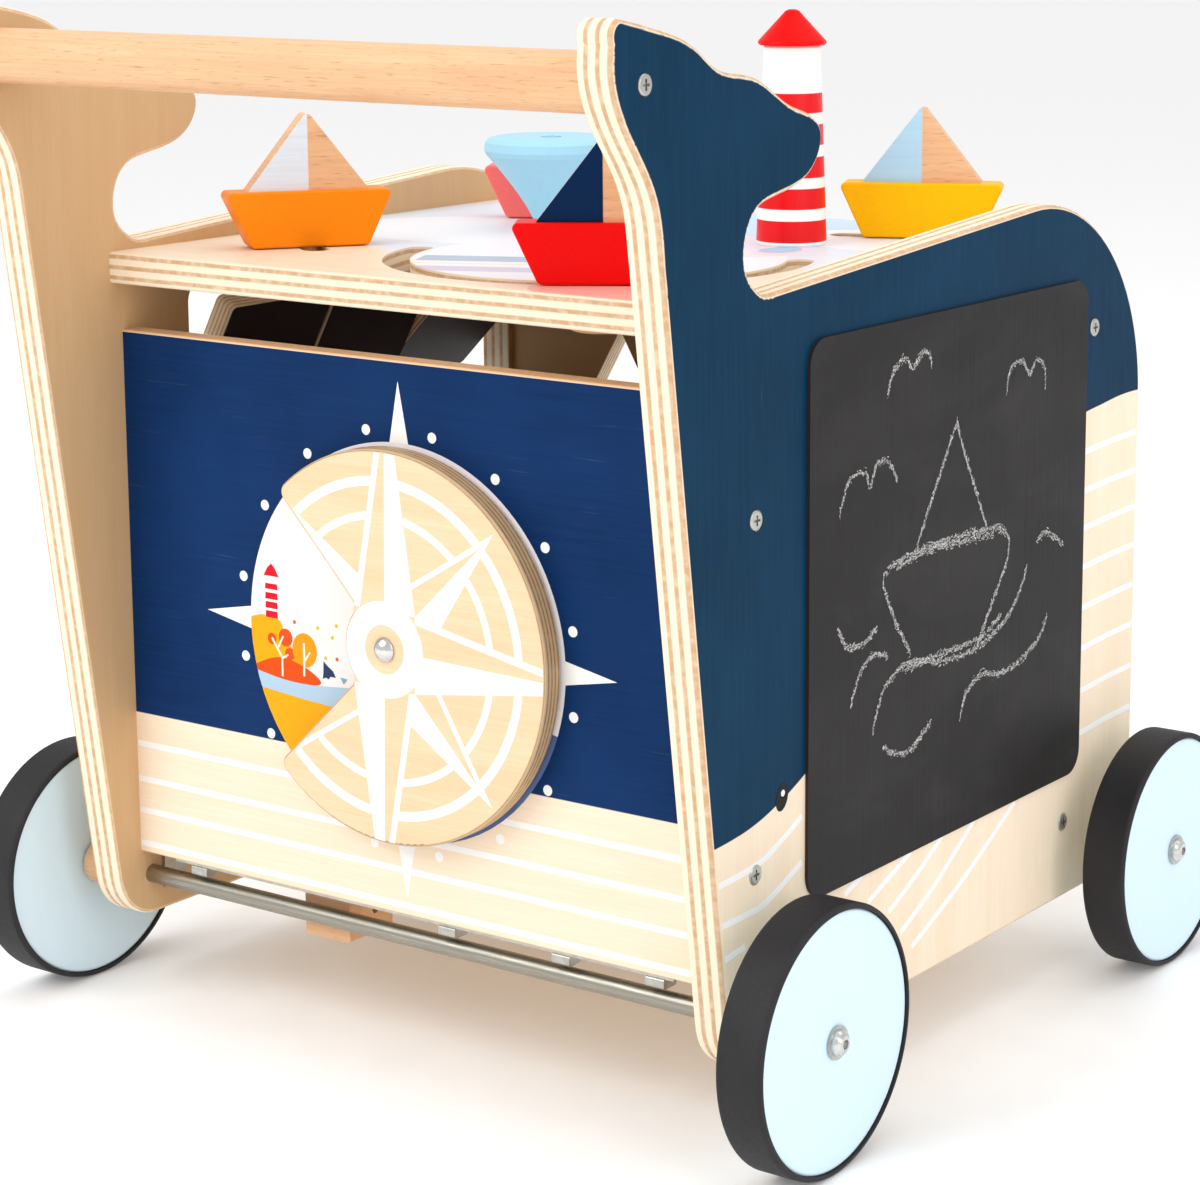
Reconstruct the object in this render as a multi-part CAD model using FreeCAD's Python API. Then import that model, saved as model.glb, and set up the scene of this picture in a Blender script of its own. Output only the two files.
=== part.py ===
"""Wooden activity walker: two plywood sides, a turning compass, flip tiles, sliding boats and four wheels.

Millimetres. X is to the right seen from behind, +Y is forward, +Z is up.
The origin is on the ground, in the middle of the length and width.
"""
import FreeCAD, Part
import math
import os

V = FreeCAD.Vector
X_AXIS = V(1, 0, 0)
Y_AXIS = V(0, 1, 0)
Z_AXIS = V(0, 0, 1)

# ---- driving dimensions -------------------------------------------------
PLY_SIDE = 18.0             # side panels
HALF_WIDTH = 190.0          # outer face of a side panel
HALF_INSIDE = HALF_WIDTH - PLY_SIDE
EDGE_ROUND = 2.5            # rounded edges of the thick boards

SIDE_BOTTOM = 39.0
SIDE_FRONT = 210.0
HUMP_CENTRE_Y = 104.0       # round front shoulder of a side panel
HUMP_CENTRE_Z = 287.0
HUMP_RADIUS = SIDE_FRONT - HUMP_CENTRE_Y
HUMP_TANGENT = math.radians(4.1)
FRONT_CORNER = 20.0
REAR_CORNER = 26.0

WINDOW_Y = (-103.0, 149.0)  # chalkboard on the right side, tile window in the left side
WINDOW_Z = (103.5, 353.5)
WINDOW_CORNER = 12.0
CHALKBOARD_T = 1.6

REAR_Y = -148.0             # rear face of the rear panel
REAR_T = 12.0
REAR_Z = (73.0, 334.0)
FRONT_PANEL_Y = (153.0, 165.0)
FRONT_PANEL_Z = (73.0, 357.0)
FLOOR_Z = (73.0, 85.0)
FLOOR_MIDDLE = sum(FLOOR_Z) / 2

BOARD_TOP = 372.0
BOARD_T = 15.0
BOARD_Y = (-155.0, 165.0)
REAR_SCREW_Z = (127.0, 282.0)
FLOOR_SCREW_Y = 136.0
FRONT_SCREW_Z = 328.0       # height of the screw into the front panel

WHEEL_R = 60.0
DISC_R = 57.5
WHEEL_X = (209.0, 232.0)
TYRE_LIP = 1.2              # the tyre stands this far proud of the disc's faces
END_PLAY = 0.2              # gap between parts that turn against each other
WASHER_X = WHEEL_X[1] - TYRE_LIP + END_PLAY
REAR_AXLE_Y = -141.0
FRONT_AXLE_Y = 181.0
AXLE_D = 9.0
AXLE_END = 230.0
BOLT_D = 5.0
BOLT_GRIP = 18.0
WASHER_D = 15.0
WASHER_T = 1.2
TYRE_SHOULDER = 2.2
RUNNING_FIT = 0.06          # radial clearance of anything that turns on a pin
SPACER_D = 22.0

SCREW_D = 4.5
SCREW_HEAD_D = 9.4
SCREW_HEAD_T = 2.6
SCREW_SINK = 2.0            # depth of the recess round a screw head
SCREW_GRIP = 22.0

HANDLE_Y = -220.0
HANDLE_Z = 468.0
HANDLE_D = 25.0

COMPASS_Z = 203.0
COMPASS_R = 92.0
COMPASS_Y = (-160.8, -149.3)
COMPASS_HUB = 24.0
COMPASS_CUT = (135.0, 225.0)      # degrees, the sector that is open
COMPASS_REST = 1.3                # how far the disc was left turned
COMPASS_WASHER_T = 1.0
COMPASS_PIN_D = 8.0
COMPASS_CAP_GAP = 0.3
COMPASS_CAP_RIM = 0.6
COMPASS_CAP_R = 5.8
COMPASS_CAP_BALL = 7.0
COMPASS_NUT_R = 7.5
COMPASS_NUT_T = 6.0
COMPASS_PIN_PROUD = 8.0        # the pin's end stands this far behind the rear panel

SHAPE_X = (-97.5, 0.0, 97.5)      # triangle, circle and square hole of the front panel
SHAPE_Z = 274.0
TRIANGLE_R = 35.0
CIRCLE_D = 48.0
SQUARE_SIDE = 44.0

ROD_IN_JAMB = 8.0
TILE_ROD_D = 6.0
TILE_T = 12.0
TILE_H = 76.0
TILE_PITCH_Z = 79.5
TILE_TOP_Z = 308.0
TILE_W = 76.0
TILE_PITCH_Y = 78.0
TILE_CENTRE_Y = 30.0
TILE_X = -HALF_WIDTH + PLY_SIDE / 2
# lean of each tile from upright, top towards the inside, row by row from the top and from the rear
TILE_LEAN = ((28, 28, 45), (0, -14, 8), (10, 0, -20))

PEG_D = 10.0
SLOT_W = 13.0
RETAINER_D = 30.0
RETAINER_T = 5.0
HULL_GAP = 0.5
HULL_H = 27.0
HULL_T = 20.0
HULL_TOP = 82.0
HULL_BOTTOM = 57.0
SAIL_H = 36.5
SAIL_BASE = 59.0
SAIL_T = 12.0
SAIL_TIP_CUT = 1.5
PEG_IN_HULL = 12.0

RED_ARC_CENTRE = (33.0, -40.0)
RED_ARC_R = 95.0
RED_ARC_FROM = -168.0         # degrees, ends of the peg's travel
RED_ARC_TO = 26.0
RED_ARC_REST = -52.0
RED_HEADING = 85.5            # hull's direction ahead of the peg's own angle

ORANGE_PEG = (-111.0, -83.0)
ORANGE_SLOT = (-33.0, -8.0, 16.0)     # direction in degrees, travel back and forth from rest
ORANGE_HEADING = 55.0
YELLOW_PEG = (115.0, 117.0)
YELLOW_SLOT = (20.0, -40.0, 10.0)
YELLOW_HEADING = 26.0
PINK_PEG = (-88.0, 90.0)
PINK_SLOT = (10.0, -20.0, 20.0)
PINK_HEADING = 31.0

KNOB_AT = (-61.5, 46.5)
KNOB_R = 34.0
KNOB_H = 46.0
KNOB_BODY_H = 35.0
KNOB_BODY_R = 31.0
KNOB_FOOT_R = 8.0
KNOB_FLARE = 1.3              # how late the body widens; 1 would be a plain cone
KNOB_SCREW_D = 5.0
KNOB_SCREW_HEAD = (9.6, 2.0)   # diameter and height
KNOB_NUT = (10.0, 4.5)
BLOCK_X = (-76.0, -48.0)       # beech block between the floor and the rear axle
BLOCK_DEPTH = 31.0
BLOCK_BOTTOM = 46.0
BLOCK_HOLE_D = 4.0
BLOCK_HOLE_Z = 58.0
BLOCK_BEHIND_AXLE = 2.0
SMALL_ROUND = 1.5

RAIL_X = 150.0                 # steel strip under the rear panel: half length, width, thickness
RAIL_W = 9.0
RAIL_T = 1.2
CLIP_X = (-134.0, 22.0, 88.0, 140.0)
CLIP_W = 10.0
CLIP_H = 5.0

BRACKET_LEG = 22.0             # steel angles under the floor board
BRACKET_T = 2.0
BRACKET_W = 16.0
BRACKET_FROM_FRONT = 40.0

LIGHTHOUSE_AT = (77.0, 57.0)
LIGHTHOUSE_DOWEL_D = 8.0
LIGHTHOUSE_H = 96.0
LIGHTHOUSE_R = (17.2, 13.8)
ROOF_R = 16.6
ROOF_H = 17.0


# ---- helpers ------------------------------------------------------------
def block(x0, x1, y0, y1, z0, z1):
    """Box between two corners."""
    return Part.makeBox(x1 - x0, y1 - y0, z1 - z0, V(x0, y0, z0))


def rod(start, axis, diameter, length):
    """Cylinder from a start point along an axis."""
    return Part.makeCylinder(diameter / 2, length, V(*start), axis)


def fillet_parallel(shape, axis, radius):
    """Round the straight edges that run along an axis."""
    picked = []
    for edge in shape.Edges:
        if isinstance(edge.Curve, Part.Line) and abs(abs(edge.Curve.Direction.dot(axis)) - 1) < 1e-6:
            picked.append(edge)
    return shape.makeFillet(radius, picked)


def round_outline(shape, axis, radius):
    """Round the edges that bound the two faces square to an axis."""
    ends = []
    for face in shape.Faces:
        if isinstance(face.Surface, Part.Plane) and abs(abs(face.Surface.Axis.dot(axis)) - 1) < 1e-6:
            ends.append((face.CenterOfMass.dot(axis), face))
    ends.sort(key=lambda pair: pair[0])
    edges = list(ends[0][1].OuterWire.Edges) + list(ends[-1][1].OuterWire.Edges)
    return shape.makeFillet(radius, edges)


def rounded_prism_x(x0, x1, y_range, z_range, corner):
    """Board lying in the YZ plane, with rounded corners."""
    shape = block(x0, x1, y_range[0], y_range[1], z_range[0], z_range[1])
    return fillet_parallel(shape, X_AXIS, corner)


def revolve(profile, origin, axis=Z_AXIS):
    """Turned piece from (radius, height) pairs about an upright axis."""
    points = [V(origin[0] + r, origin[1], origin[2] + h) for r, h in profile]
    face = Part.Face(Part.makePolygon(points + [points[0]]))
    return face.revolve(V(*origin), axis, 360)


def turned_x(profile, x, y, z, side):
    """Turned piece about X; profile pairs are (distance outwards from x, radius)."""
    points = [V(x + side * d, y + r, z) for d, r in profile]
    face = Part.Face(Part.makePolygon(points + [points[0]]))
    return face.revolve(V(x, y, z), X_AXIS, 360)


def turned(shape, at, axis, degrees):
    """Copy of a shape turned about a line."""
    copy = shape.copy()
    copy.rotate(V(*at), axis, degrees)
    return copy


def save(name, solids):
    """Write one sub-part; several solids become one compound."""
    shape = solids if not isinstance(solids, list) else Part.makeCompound(solids)
    assert shape.isValid(), name
    shape.exportStep(os.path.join("parts", name + ".step"))


def arc_through(p0, p1, p2):
    """Edge along the circle through three (y, z) points of the side outline."""
    return Part.Arc(V(0, *p0), V(0, *p1), V(0, *p2)).toShape()


def spline_through(points, start=None, end=None):
    """Edge through (y, z) points, with optional end directions."""
    curve = Part.BSplineCurve()
    poles = [V(0, *p) for p in points]
    if start is None:
        curve.interpolate(poles)
    else:
        curve.interpolate(Points=poles, InitialTangent=V(0, *start), FinalTangent=V(0, *end))
    return curve.toShape()


def line(p0, p1):
    """Straight edge between two (y, z) points."""
    return Part.LineSegment(V(0, *p0), V(0, *p1)).toShape()


# ---- side panels --------------------------------------------------------
def side_outline():
    """Outline of a side: whale's tail above the handle, straight rear slope, round front shoulder."""
    tail_top = [(-236, 494), (-208, 488.5), (-184, 480.5), (-171, 472.5), (-160, 469.5), (-143, 467),
                (-114, 453.5), (-101, 449.6), (-92.5, 443), (-95, 431), (-107, 421.5), (-128, 416.5),
                (-142, 411.5), (-149, 400), (-147.5, 385.5), (-139, 378), (-127, 376.7)]
    neck = [(-206.5, 382), (-209, 400), (-213, 420), (-222, 436), (-233, 451), (-240.5, 467), (-241, 484)]
    slope_foot = (-165.0, 75.0)
    hump_start = (HUMP_CENTRE_Y - HUMP_RADIUS * math.sin(HUMP_TANGENT),
                  HUMP_CENTRE_Z + HUMP_RADIUS * math.cos(HUMP_TANGENT))
    half = math.sqrt(0.5)
    hump_mid = (HUMP_CENTRE_Y + HUMP_RADIUS * half, HUMP_CENTRE_Z + HUMP_RADIUS * half)
    hump_end = (SIDE_FRONT, HUMP_CENTRE_Z)
    front_foot = (SIDE_FRONT, SIDE_BOTTOM + FRONT_CORNER)
    front_mid = (SIDE_FRONT - FRONT_CORNER * (1 - half), SIDE_BOTTOM + FRONT_CORNER * (1 - half))
    bottom_front = (SIDE_FRONT - FRONT_CORNER, SIDE_BOTTOM)
    # the foot of the rear slope turns into the bottom edge on a circle
    slope = (slope_foot[0] - neck[0][0], slope_foot[1] - neck[0][1])
    turn = math.pi - math.atan2(-slope[1], slope[0])
    corner = (slope_foot[0] + slope[0] / slope[1] * (SIDE_BOTTOM - slope_foot[1]), SIDE_BOTTOM)
    cut = REAR_CORNER / math.tan(turn / 2)
    length = math.hypot(*slope)
    slope_end = (corner[0] - slope[0] / length * cut, corner[1] - slope[1] / length * cut)
    bottom_rear = (corner[0] + cut, SIDE_BOTTOM)
    centre = (bottom_rear[0], SIDE_BOTTOM + REAR_CORNER)
    middle = ((slope_end[0] + bottom_rear[0]) / 2 - centre[0], (slope_end[1] + bottom_rear[1]) / 2 - centre[1])
    reach = REAR_CORNER / math.hypot(*middle)
    rear_mid = (centre[0] + middle[0] * reach, centre[1] + middle[1] * reach)
    edges = [
        spline_through(tail_top, (20, -3), (20, 1.4)),
        line(tail_top[-1], hump_start),
        arc_through(hump_start, hump_mid, hump_end),
        line(hump_end, front_foot),
        arc_through(front_foot, front_mid, bottom_front),
        line(bottom_front, bottom_rear),
        arc_through(bottom_rear, rear_mid, slope_end),
        line(slope_end, neck[0]),
        spline_through(neck, (slope[0] * -0.1, slope[1] * -0.1), (2, 12)),
        arc_through(neck[-1], (-240, 491.5), tail_top[0]),
    ]
    return Part.Wire(Part.__sortEdges__(edges))


def side_board(x_inner):
    """Plain side panel whose inner or outer face lies at x_inner and x_inner + PLY_SIDE."""
    wire = side_outline()
    wire.translate(V(x_inner, 0, 0))
    board = Part.Face(wire).extrude(V(PLY_SIDE, 0, 0))
    return round_outline(board, X_AXIS, EDGE_ROUND)


def side_screw_places():
    """(y, z) of the screws driven from outside: two into the rear panel, one into floor and front each."""
    rear_middle = REAR_Y + REAR_T / 2
    front_middle = sum(FRONT_PANEL_Y) / 2
    return [(rear_middle, REAR_SCREW_Z[1]), (rear_middle, REAR_SCREW_Z[0]),
            (FLOOR_SCREW_Y, FLOOR_MIDDLE), (front_middle, FRONT_SCREW_Z)]


def bore_side(board, side):
    """Holes of a side panel: axles, screws, handle screw."""
    outer = side * (HALF_WIDTH + 1)
    inward = X_AXIS * -side
    for y in (REAR_AXLE_Y, FRONT_AXLE_Y):
        board = board.cut(rod((outer, y, WHEEL_R), inward, AXLE_D, PLY_SIDE + 2))
    for y, z in side_screw_places() + [(HANDLE_Y, HANDLE_Z)]:
        board = board.cut(rod((outer, y, z), inward, SCREW_D, PLY_SIDE + 2))
        board = board.cut(rod((outer, y, z), inward, SCREW_HEAD_D, 1 + SCREW_SINK))
    return board


def side_panel_right():
    return bore_side(side_board(HALF_INSIDE), 1)


def side_panel_left():
    """Left side with the tile window and blind holes for the tile rods in its jambs."""
    board = bore_side(side_board(-HALF_WIDTH), -1)
    window = rounded_prism_x(-HALF_WIDTH - 5, -HALF_INSIDE + 5, WINDOW_Y, WINDOW_Z, WINDOW_CORNER)
    board = board.cut(window)
    for row in range(3):
        board = board.cut(tile_rod(row))
    return board


def chalkboard():
    """Thin board screwed flat on the outer face of the right side."""
    return rounded_prism_x(HALF_WIDTH, HALF_WIDTH + CHALKBOARD_T, WINDOW_Y, WINDOW_Z, WINDOW_CORNER)


# ---- boards between the sides -------------------------------------------
def rear_panel():
    board = block(-HALF_INSIDE, HALF_INSIDE, REAR_Y, REAR_Y + REAR_T, REAR_Z[0], REAR_Z[1])
    board = fillet_parallel(board, X_AXIS, 1.5)
    board = board.cut(rod((0, REAR_Y - 1, COMPASS_Z), Y_AXIS, COMPASS_PIN_D, REAR_T + 2))
    return cut_pilots(board, side_screw_places()[:2])


def prism_y(points, y0, y1):
    """Prism along Y over (x, z) corners."""
    corners = [V(x, y0, z) for x, z in points]
    return Part.Face(Part.makePolygon(corners + [corners[0]])).extrude(V(0, y1 - y0, 0))


def regular(count, radius, centre, start):
    """Corners of a regular polygon; start is the angle of its first corner in degrees."""
    angles = [math.radians(start + 360 * k / count) for k in range(count)]
    return [(centre[0] + radius * math.cos(a), centre[1] + radius * math.sin(a)) for a in angles]


def front_panel():
    """Front board with three see-through shape holes: triangle, circle and square."""
    y0, y1 = FRONT_PANEL_Y
    board = block(-HALF_INSIDE, HALF_INSIDE, y0, y1, FRONT_PANEL_Z[0], FRONT_PANEL_Z[1])
    board = fillet_parallel(board, X_AXIS, 2.0)
    holes = [
        prism_y(regular(3, TRIANGLE_R, (SHAPE_X[0], SHAPE_Z - 5), 90), y0 - 1, y1 + 1),
        rod((SHAPE_X[1], y0 - 1, SHAPE_Z), Y_AXIS, CIRCLE_D, y1 - y0 + 2),
        prism_y(regular(4, SQUARE_SIDE / math.sqrt(2), (SHAPE_X[2], SHAPE_Z), 45), y0 - 1, y1 + 1),
    ]
    for hole in holes:
        board = board.cut(hole)
    return cut_pilots(board, side_screw_places()[3:])


def slot_straight(peg, direction, back, forth):
    """Straight slot through the top board for a peg that travels back and forth from its rest place."""
    z0 = BOARD_TOP - BOARD_T - 1
    height = BOARD_T + 2
    slot = block(back, forth, -SLOT_W / 2, SLOT_W / 2, z0, z0 + height)
    for end in (back, forth):
        slot = slot.fuse(rod((end, 0, z0), Z_AXIS, SLOT_W, height))
    slot.rotate(V(0, 0, 0), Z_AXIS, direction)
    slot.translate(V(peg[0], peg[1], 0))
    return slot


def slot_arc():
    """Curved slot of the red boat."""
    z0 = BOARD_TOP - BOARD_T - 1
    height = BOARD_T + 2
    centre = V(RED_ARC_CENTRE[0], RED_ARC_CENTRE[1], z0)
    sweep = RED_ARC_TO - RED_ARC_FROM
    outer = Part.makeCylinder(RED_ARC_R + SLOT_W / 2, height, centre, Z_AXIS, sweep)
    inner = Part.makeCylinder(RED_ARC_R - SLOT_W / 2, height, centre, Z_AXIS)
    slot = outer.cut(inner)
    slot.rotate(centre, Z_AXIS, RED_ARC_FROM)
    for angle in (RED_ARC_FROM, RED_ARC_TO):
        x, y = red_peg_at(angle)
        slot = slot.fuse(rod((x, y, z0), Z_AXIS, SLOT_W, height))
    return slot


def red_peg_at(angle):
    """Place of the red boat's peg at an angle of its curved slot."""
    a = math.radians(angle)
    return (RED_ARC_CENTRE[0] + RED_ARC_R * math.cos(a), RED_ARC_CENTRE[1] + RED_ARC_R * math.sin(a))


def top_board():
    board = block(-HALF_INSIDE, HALF_INSIDE, BOARD_Y[0], BOARD_Y[1], BOARD_TOP - BOARD_T, BOARD_TOP)
    board = fillet_parallel(board, X_AXIS, 2.0)
    board = board.cut(slot_arc())
    for peg, slot in ((ORANGE_PEG, ORANGE_SLOT), (YELLOW_PEG, YELLOW_SLOT), (PINK_PEG, PINK_SLOT)):
        board = board.cut(slot_straight(peg, *slot))
    z0 = BOARD_TOP - BOARD_T - 1
    board = board.cut(rod((KNOB_AT[0], KNOB_AT[1], z0), Z_AXIS, KNOB_SCREW_D, BOARD_T + 2))
    return board.cut(rod((LIGHTHOUSE_AT[0], LIGHTHOUSE_AT[1], z0), Z_AXIS, LIGHTHOUSE_DOWEL_D, BOARD_T + 2))


def floor_board():
    board = block(-HALF_INSIDE, HALF_INSIDE, REAR_Y + REAR_T, FRONT_PANEL_Y[0], FLOOR_Z[0], FLOOR_Z[1])
    return cut_pilots(board, side_screw_places()[2:3])


# ---- handle and screws --------------------------------------------------
def handle_bar():
    bar = rod((-HALF_INSIDE, HANDLE_Y, HANDLE_Z), X_AXIS, HANDLE_D, 2 * HALF_INSIDE)
    return cut_pilots(bar, [(HANDLE_Y, HANDLE_Z)])


def cut_pilots(board, places):
    """Drill a board's two ends where the side screws bite."""
    for side in (-1, 1):
        for y, z in places:
            board = board.cut(rod((side * (HALF_INSIDE + 1), y, z), X_AXIS * -side, SCREW_D, SCREW_GRIP + 1))
    return board


def cross_recess(origin, axis, across, depth):
    """Cross-shaped recess of a Phillips head, centred at the origin and cut along the axis."""
    arm = 1.1
    bars = [Part.makeBox(across, arm, depth, V(-across / 2, -arm / 2, 0)),
            Part.makeBox(arm, across, depth, V(-arm / 2, -across / 2, 0))]
    cross = bars[0].fuse(bars[1])
    cross.Placement = FreeCAD.Placement(V(*origin), FreeCAD.Rotation(Z_AXIS, axis))
    return cross


def side_screw(side, y, z):
    """Phillips screw sunk a little below the outer face of a side."""
    head_x = side * (HALF_WIDTH - SCREW_SINK)
    inward = X_AXIS * -side
    head = rod((head_x + side * SCREW_HEAD_T, y, z), inward, SCREW_HEAD_D - 0.4, SCREW_HEAD_T)
    head = head.makeFillet(0.9, [e for e in head.Edges if abs(e.BoundBox.XLength) < 1e-3
                                 and abs(e.CenterOfMass.x - head_x - side * SCREW_HEAD_T) < 1e-3])
    shank = rod((head_x, y, z), inward, SCREW_D, PLY_SIDE - SCREW_SINK + SCREW_GRIP)
    tip = (head_x + side * (SCREW_HEAD_T + 0.1), y, z)
    return head.fuse(shank).cut(cross_recess(tip, inward, 4.6, 1.4))


def side_screws():
    return [side_screw(side, y, z) for side in (-1, 1) for y, z in side_screw_places()]


def handle_screws():
    return [side_screw(side, HANDLE_Y, HANDLE_Z) for side in (-1, 1)]


# ---- running gear -------------------------------------------------------
def axle(y):
    """Steel rod through both sides, drilled at its ends for the wheel bolts."""
    bar = rod((-AXLE_END, y, WHEEL_R), X_AXIS, AXLE_D, 2 * AXLE_END)
    for side in (-1, 1):
        bar = bar.cut(rod((side * (AXLE_END + 1), y, WHEEL_R), X_AXIS * -side, BOLT_D, BOLT_GRIP + 1))
    return bar


def wheel_disc(side, y):
    """Painted wooden disc, a running fit on the axle."""
    x0, x1 = WHEEL_X
    start = side * (x0 + TYRE_LIP)
    disc = rod((start, y, WHEEL_R), X_AXIS * side, 2 * DISC_R, x1 - x0 - 2 * TYRE_LIP)
    disc = round_outline(disc, X_AXIS, 1.5)
    return disc.cut(rod((start - side, y, WHEEL_R), X_AXIS * side, AXLE_D + 2 * RUNNING_FIT, x1 - x0))


def tyre(side, y):
    """Rubber band round a disc: a thin tread that grips the rim, with rounded shoulders."""
    x0, x1 = WHEEL_X
    outer = rod((side * x0, y, WHEEL_R), X_AXIS * side, 2 * WHEEL_R, x1 - x0)
    outer = round_outline(outer, X_AXIS, TYRE_SHOULDER)
    return outer.cut(rod((side * (x0 - 1), y, WHEEL_R), X_AXIS * side, 2 * DISC_R, x1 - x0 + 2))


def hex_socket(x, y, side, across, depth):
    """Hexagonal recess in a bolt head."""
    corners = [V(x, cy, cz) for cy, cz in regular(6, across / math.sqrt(3), (y, WHEEL_R), 0)]
    return Part.Face(Part.makePolygon(corners + [corners[0]])).extrude(V(-side * depth, 0, 0))


def wheel_bolt(side, y):
    """Button head bolt in the end of an axle."""
    seat = side * (WASHER_X + WASHER_T)
    shank = rod((seat, y, WHEEL_R), X_AXIS * -side, BOLT_D, abs(seat) - AXLE_END + BOLT_GRIP)
    profile = [(0, 0), (0, 6.0), (1.2, 5.8), (2.4, 5.0), (3.4, 3.6), (3.8, 0)]
    head = turned_x(profile, seat, y, WHEEL_R, side)
    socket = hex_socket(seat + side * 4.0, y, side, 4.0, 2.2)
    return head.fuse(shank).cut(socket)


def wheel_washer(side, y):
    start = side * WASHER_X
    ring = rod((start, y, WHEEL_R), X_AXIS * side, WASHER_D, WASHER_T)
    return ring.cut(rod((start - side, y, WHEEL_R), X_AXIS * side, BOLT_D, WASHER_T + 2))


def wheel_spacer(side, y):
    """Beech ring between a side and its wheel."""
    length = WHEEL_X[0] - HALF_WIDTH - END_PLAY
    ring = rod((side * HALF_WIDTH, y, WHEEL_R), X_AXIS * side, SPACER_D, length)
    return ring.cut(rod((side * (HALF_WIDTH - 1), y, WHEEL_R), X_AXIS * side, AXLE_D, length + 2))


def at_each_wheel(make):
    """One piece per wheel, rear pair first."""
    return [make(side, y) for y in (REAR_AXLE_Y, FRONT_AXLE_Y) for side in (-1, 1)]


# ---- compass ------------------------------------------------------------
def compass_disc():
    """Turning ply disc with a sector cut away, so that one part of the picture behind it shows."""
    y0, y1 = COMPASS_Y
    centre = (0, y0, COMPASS_Z)
    disc = rod(centre, Y_AXIS, 2 * COMPASS_R, y1 - y0)
    reach = COMPASS_R + 20
    first = math.radians(COMPASS_CUT[0])
    last = math.radians(COMPASS_CUT[1])
    middle = (first + last) / 2
    corners = [
        (0, COMPASS_Z),
        (reach * math.cos(first), COMPASS_Z + reach * math.sin(first)),
        (2 * reach * math.cos(middle), COMPASS_Z + 2 * reach * math.sin(middle)),
        (reach * math.cos(last), COMPASS_Z + reach * math.sin(last)),
    ]
    hub = rod(centre, Y_AXIS, 2 * COMPASS_HUB, y1 - y0)
    sector = prism_y(corners, y0 - 1, y1 + 1).cut(hub)
    disc = disc.cut(sector)
    disc = fillet_parallel(disc, Y_AXIS, 5.0)
    disc = round_outline(disc, Y_AXIS, 1.8)
    disc = disc.cut(rod((0, y0 - 1, COMPASS_Z), Y_AXIS, COMPASS_PIN_D + 2 * RUNNING_FIT, y1 - y0 + 2))
    return turned(disc, centre, Y_AXIS, COMPASS_REST)


def compass_pin():
    """Steel pin through the rear panel, with a nut inside, that the disc turns on."""
    front = COMPASS_Y[0] - COMPASS_CAP_GAP
    nut_y = REAR_Y + REAR_T
    pin = rod((0, front, COMPASS_Z), Y_AXIS, COMPASS_PIN_D, nut_y + COMPASS_PIN_PROUD - front)
    corners = [V(x, nut_y, z) for x, z in regular(6, COMPASS_NUT_R, (0, COMPASS_Z), 0)]
    nut = Part.Face(Part.makePolygon(corners + [corners[0]])).extrude(V(0, COMPASS_NUT_T, 0))
    return pin.fuse(nut)


def compass_cap():
    """Domed cap on the front of the pin."""
    y = COMPASS_Y[0] - COMPASS_CAP_GAP
    rim_y = y - COMPASS_CAP_RIM
    reach = COMPASS_CAP_BALL
    depth = math.sqrt(COMPASS_CAP_BALL ** 2 - COMPASS_CAP_R ** 2)
    ball = Part.makeSphere(COMPASS_CAP_BALL, V(0, rim_y + depth, COMPASS_Z))
    dome = ball.common(block(-reach, reach, y - reach, rim_y, COMPASS_Z - reach, COMPASS_Z + reach))
    return dome.fuse(rod((0, rim_y, COMPASS_Z), Y_AXIS, 2 * COMPASS_CAP_R, COMPASS_CAP_RIM))


def compass_washer():
    """Thin ring that keeps the disc off the rear panel."""
    ring = rod((0, REAR_Y, COMPASS_Z), Y_AXIS * -1, 20, COMPASS_WASHER_T)
    return ring.cut(rod((0, REAR_Y + 1, COMPASS_Z), Y_AXIS * -1, COMPASS_PIN_D, COMPASS_WASHER_T + 2))


# ---- flip tiles ---------------------------------------------------------
def tile_z(row):
    return TILE_TOP_Z - row * TILE_PITCH_Z


def tile_rod(row):
    """Steel rod from jamb to jamb of the window."""
    start = (TILE_X, WINDOW_Y[0] - ROD_IN_JAMB, tile_z(row))
    return rod(start, Y_AXIS, TILE_ROD_D, WINDOW_Y[1] - WINDOW_Y[0] + 2 * ROD_IN_JAMB)


def tile(row, column):
    """Square ply tile, bored through its middle, leaning as a child left it."""
    y = TILE_CENTRE_Y + (column - 1) * TILE_PITCH_Y
    z = tile_z(row)
    plate = block(TILE_X - TILE_T / 2, TILE_X + TILE_T / 2, y - TILE_W / 2, y + TILE_W / 2,
                  z - TILE_H / 2, z + TILE_H / 2)
    plate = fillet_parallel(plate, X_AXIS, 3.0)
    plate = plate.makeFillet(0.8, [e for e in plate.Edges if abs(e.BoundBox.XLength) < 1e-3])
    bore = rod((TILE_X, y - TILE_W, z), Y_AXIS, TILE_ROD_D + 2 * RUNNING_FIT, 2 * TILE_W)
    return turned(plate.cut(bore), (TILE_X, y, z), Y_AXIS, TILE_LEAN[row][column])


# ---- boats, knob and lighthouse -----------------------------------------
def place(shape, peg, heading):
    """Turn a piece built over the origin and set it over a peg."""
    shape.rotate(V(0, 0, 0), Z_AXIS, heading)
    shape.translate(V(peg[0], peg[1], 0))
    return shape


def hull(peg, heading):
    """Boat hull with sloping ends, rounded edges and a blind hole for its peg."""
    z0 = BOARD_TOP + HULL_GAP
    top = HULL_TOP / 2
    bottom = HULL_BOTTOM / 2
    shape = prism_y([(-bottom, z0), (bottom, z0), (top, z0 + HULL_H), (-top, z0 + HULL_H)],
                    -HULL_T / 2, HULL_T / 2)
    shape = fillet_parallel(shape, Y_AXIS, 2.5)
    shape = round_outline(shape, Y_AXIS, 1.2)
    shape = shape.cut(rod((0, 0, z0 - 1), Z_AXIS, PEG_D, PEG_IN_HULL + 1))
    return place(shape, peg, heading)


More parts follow.
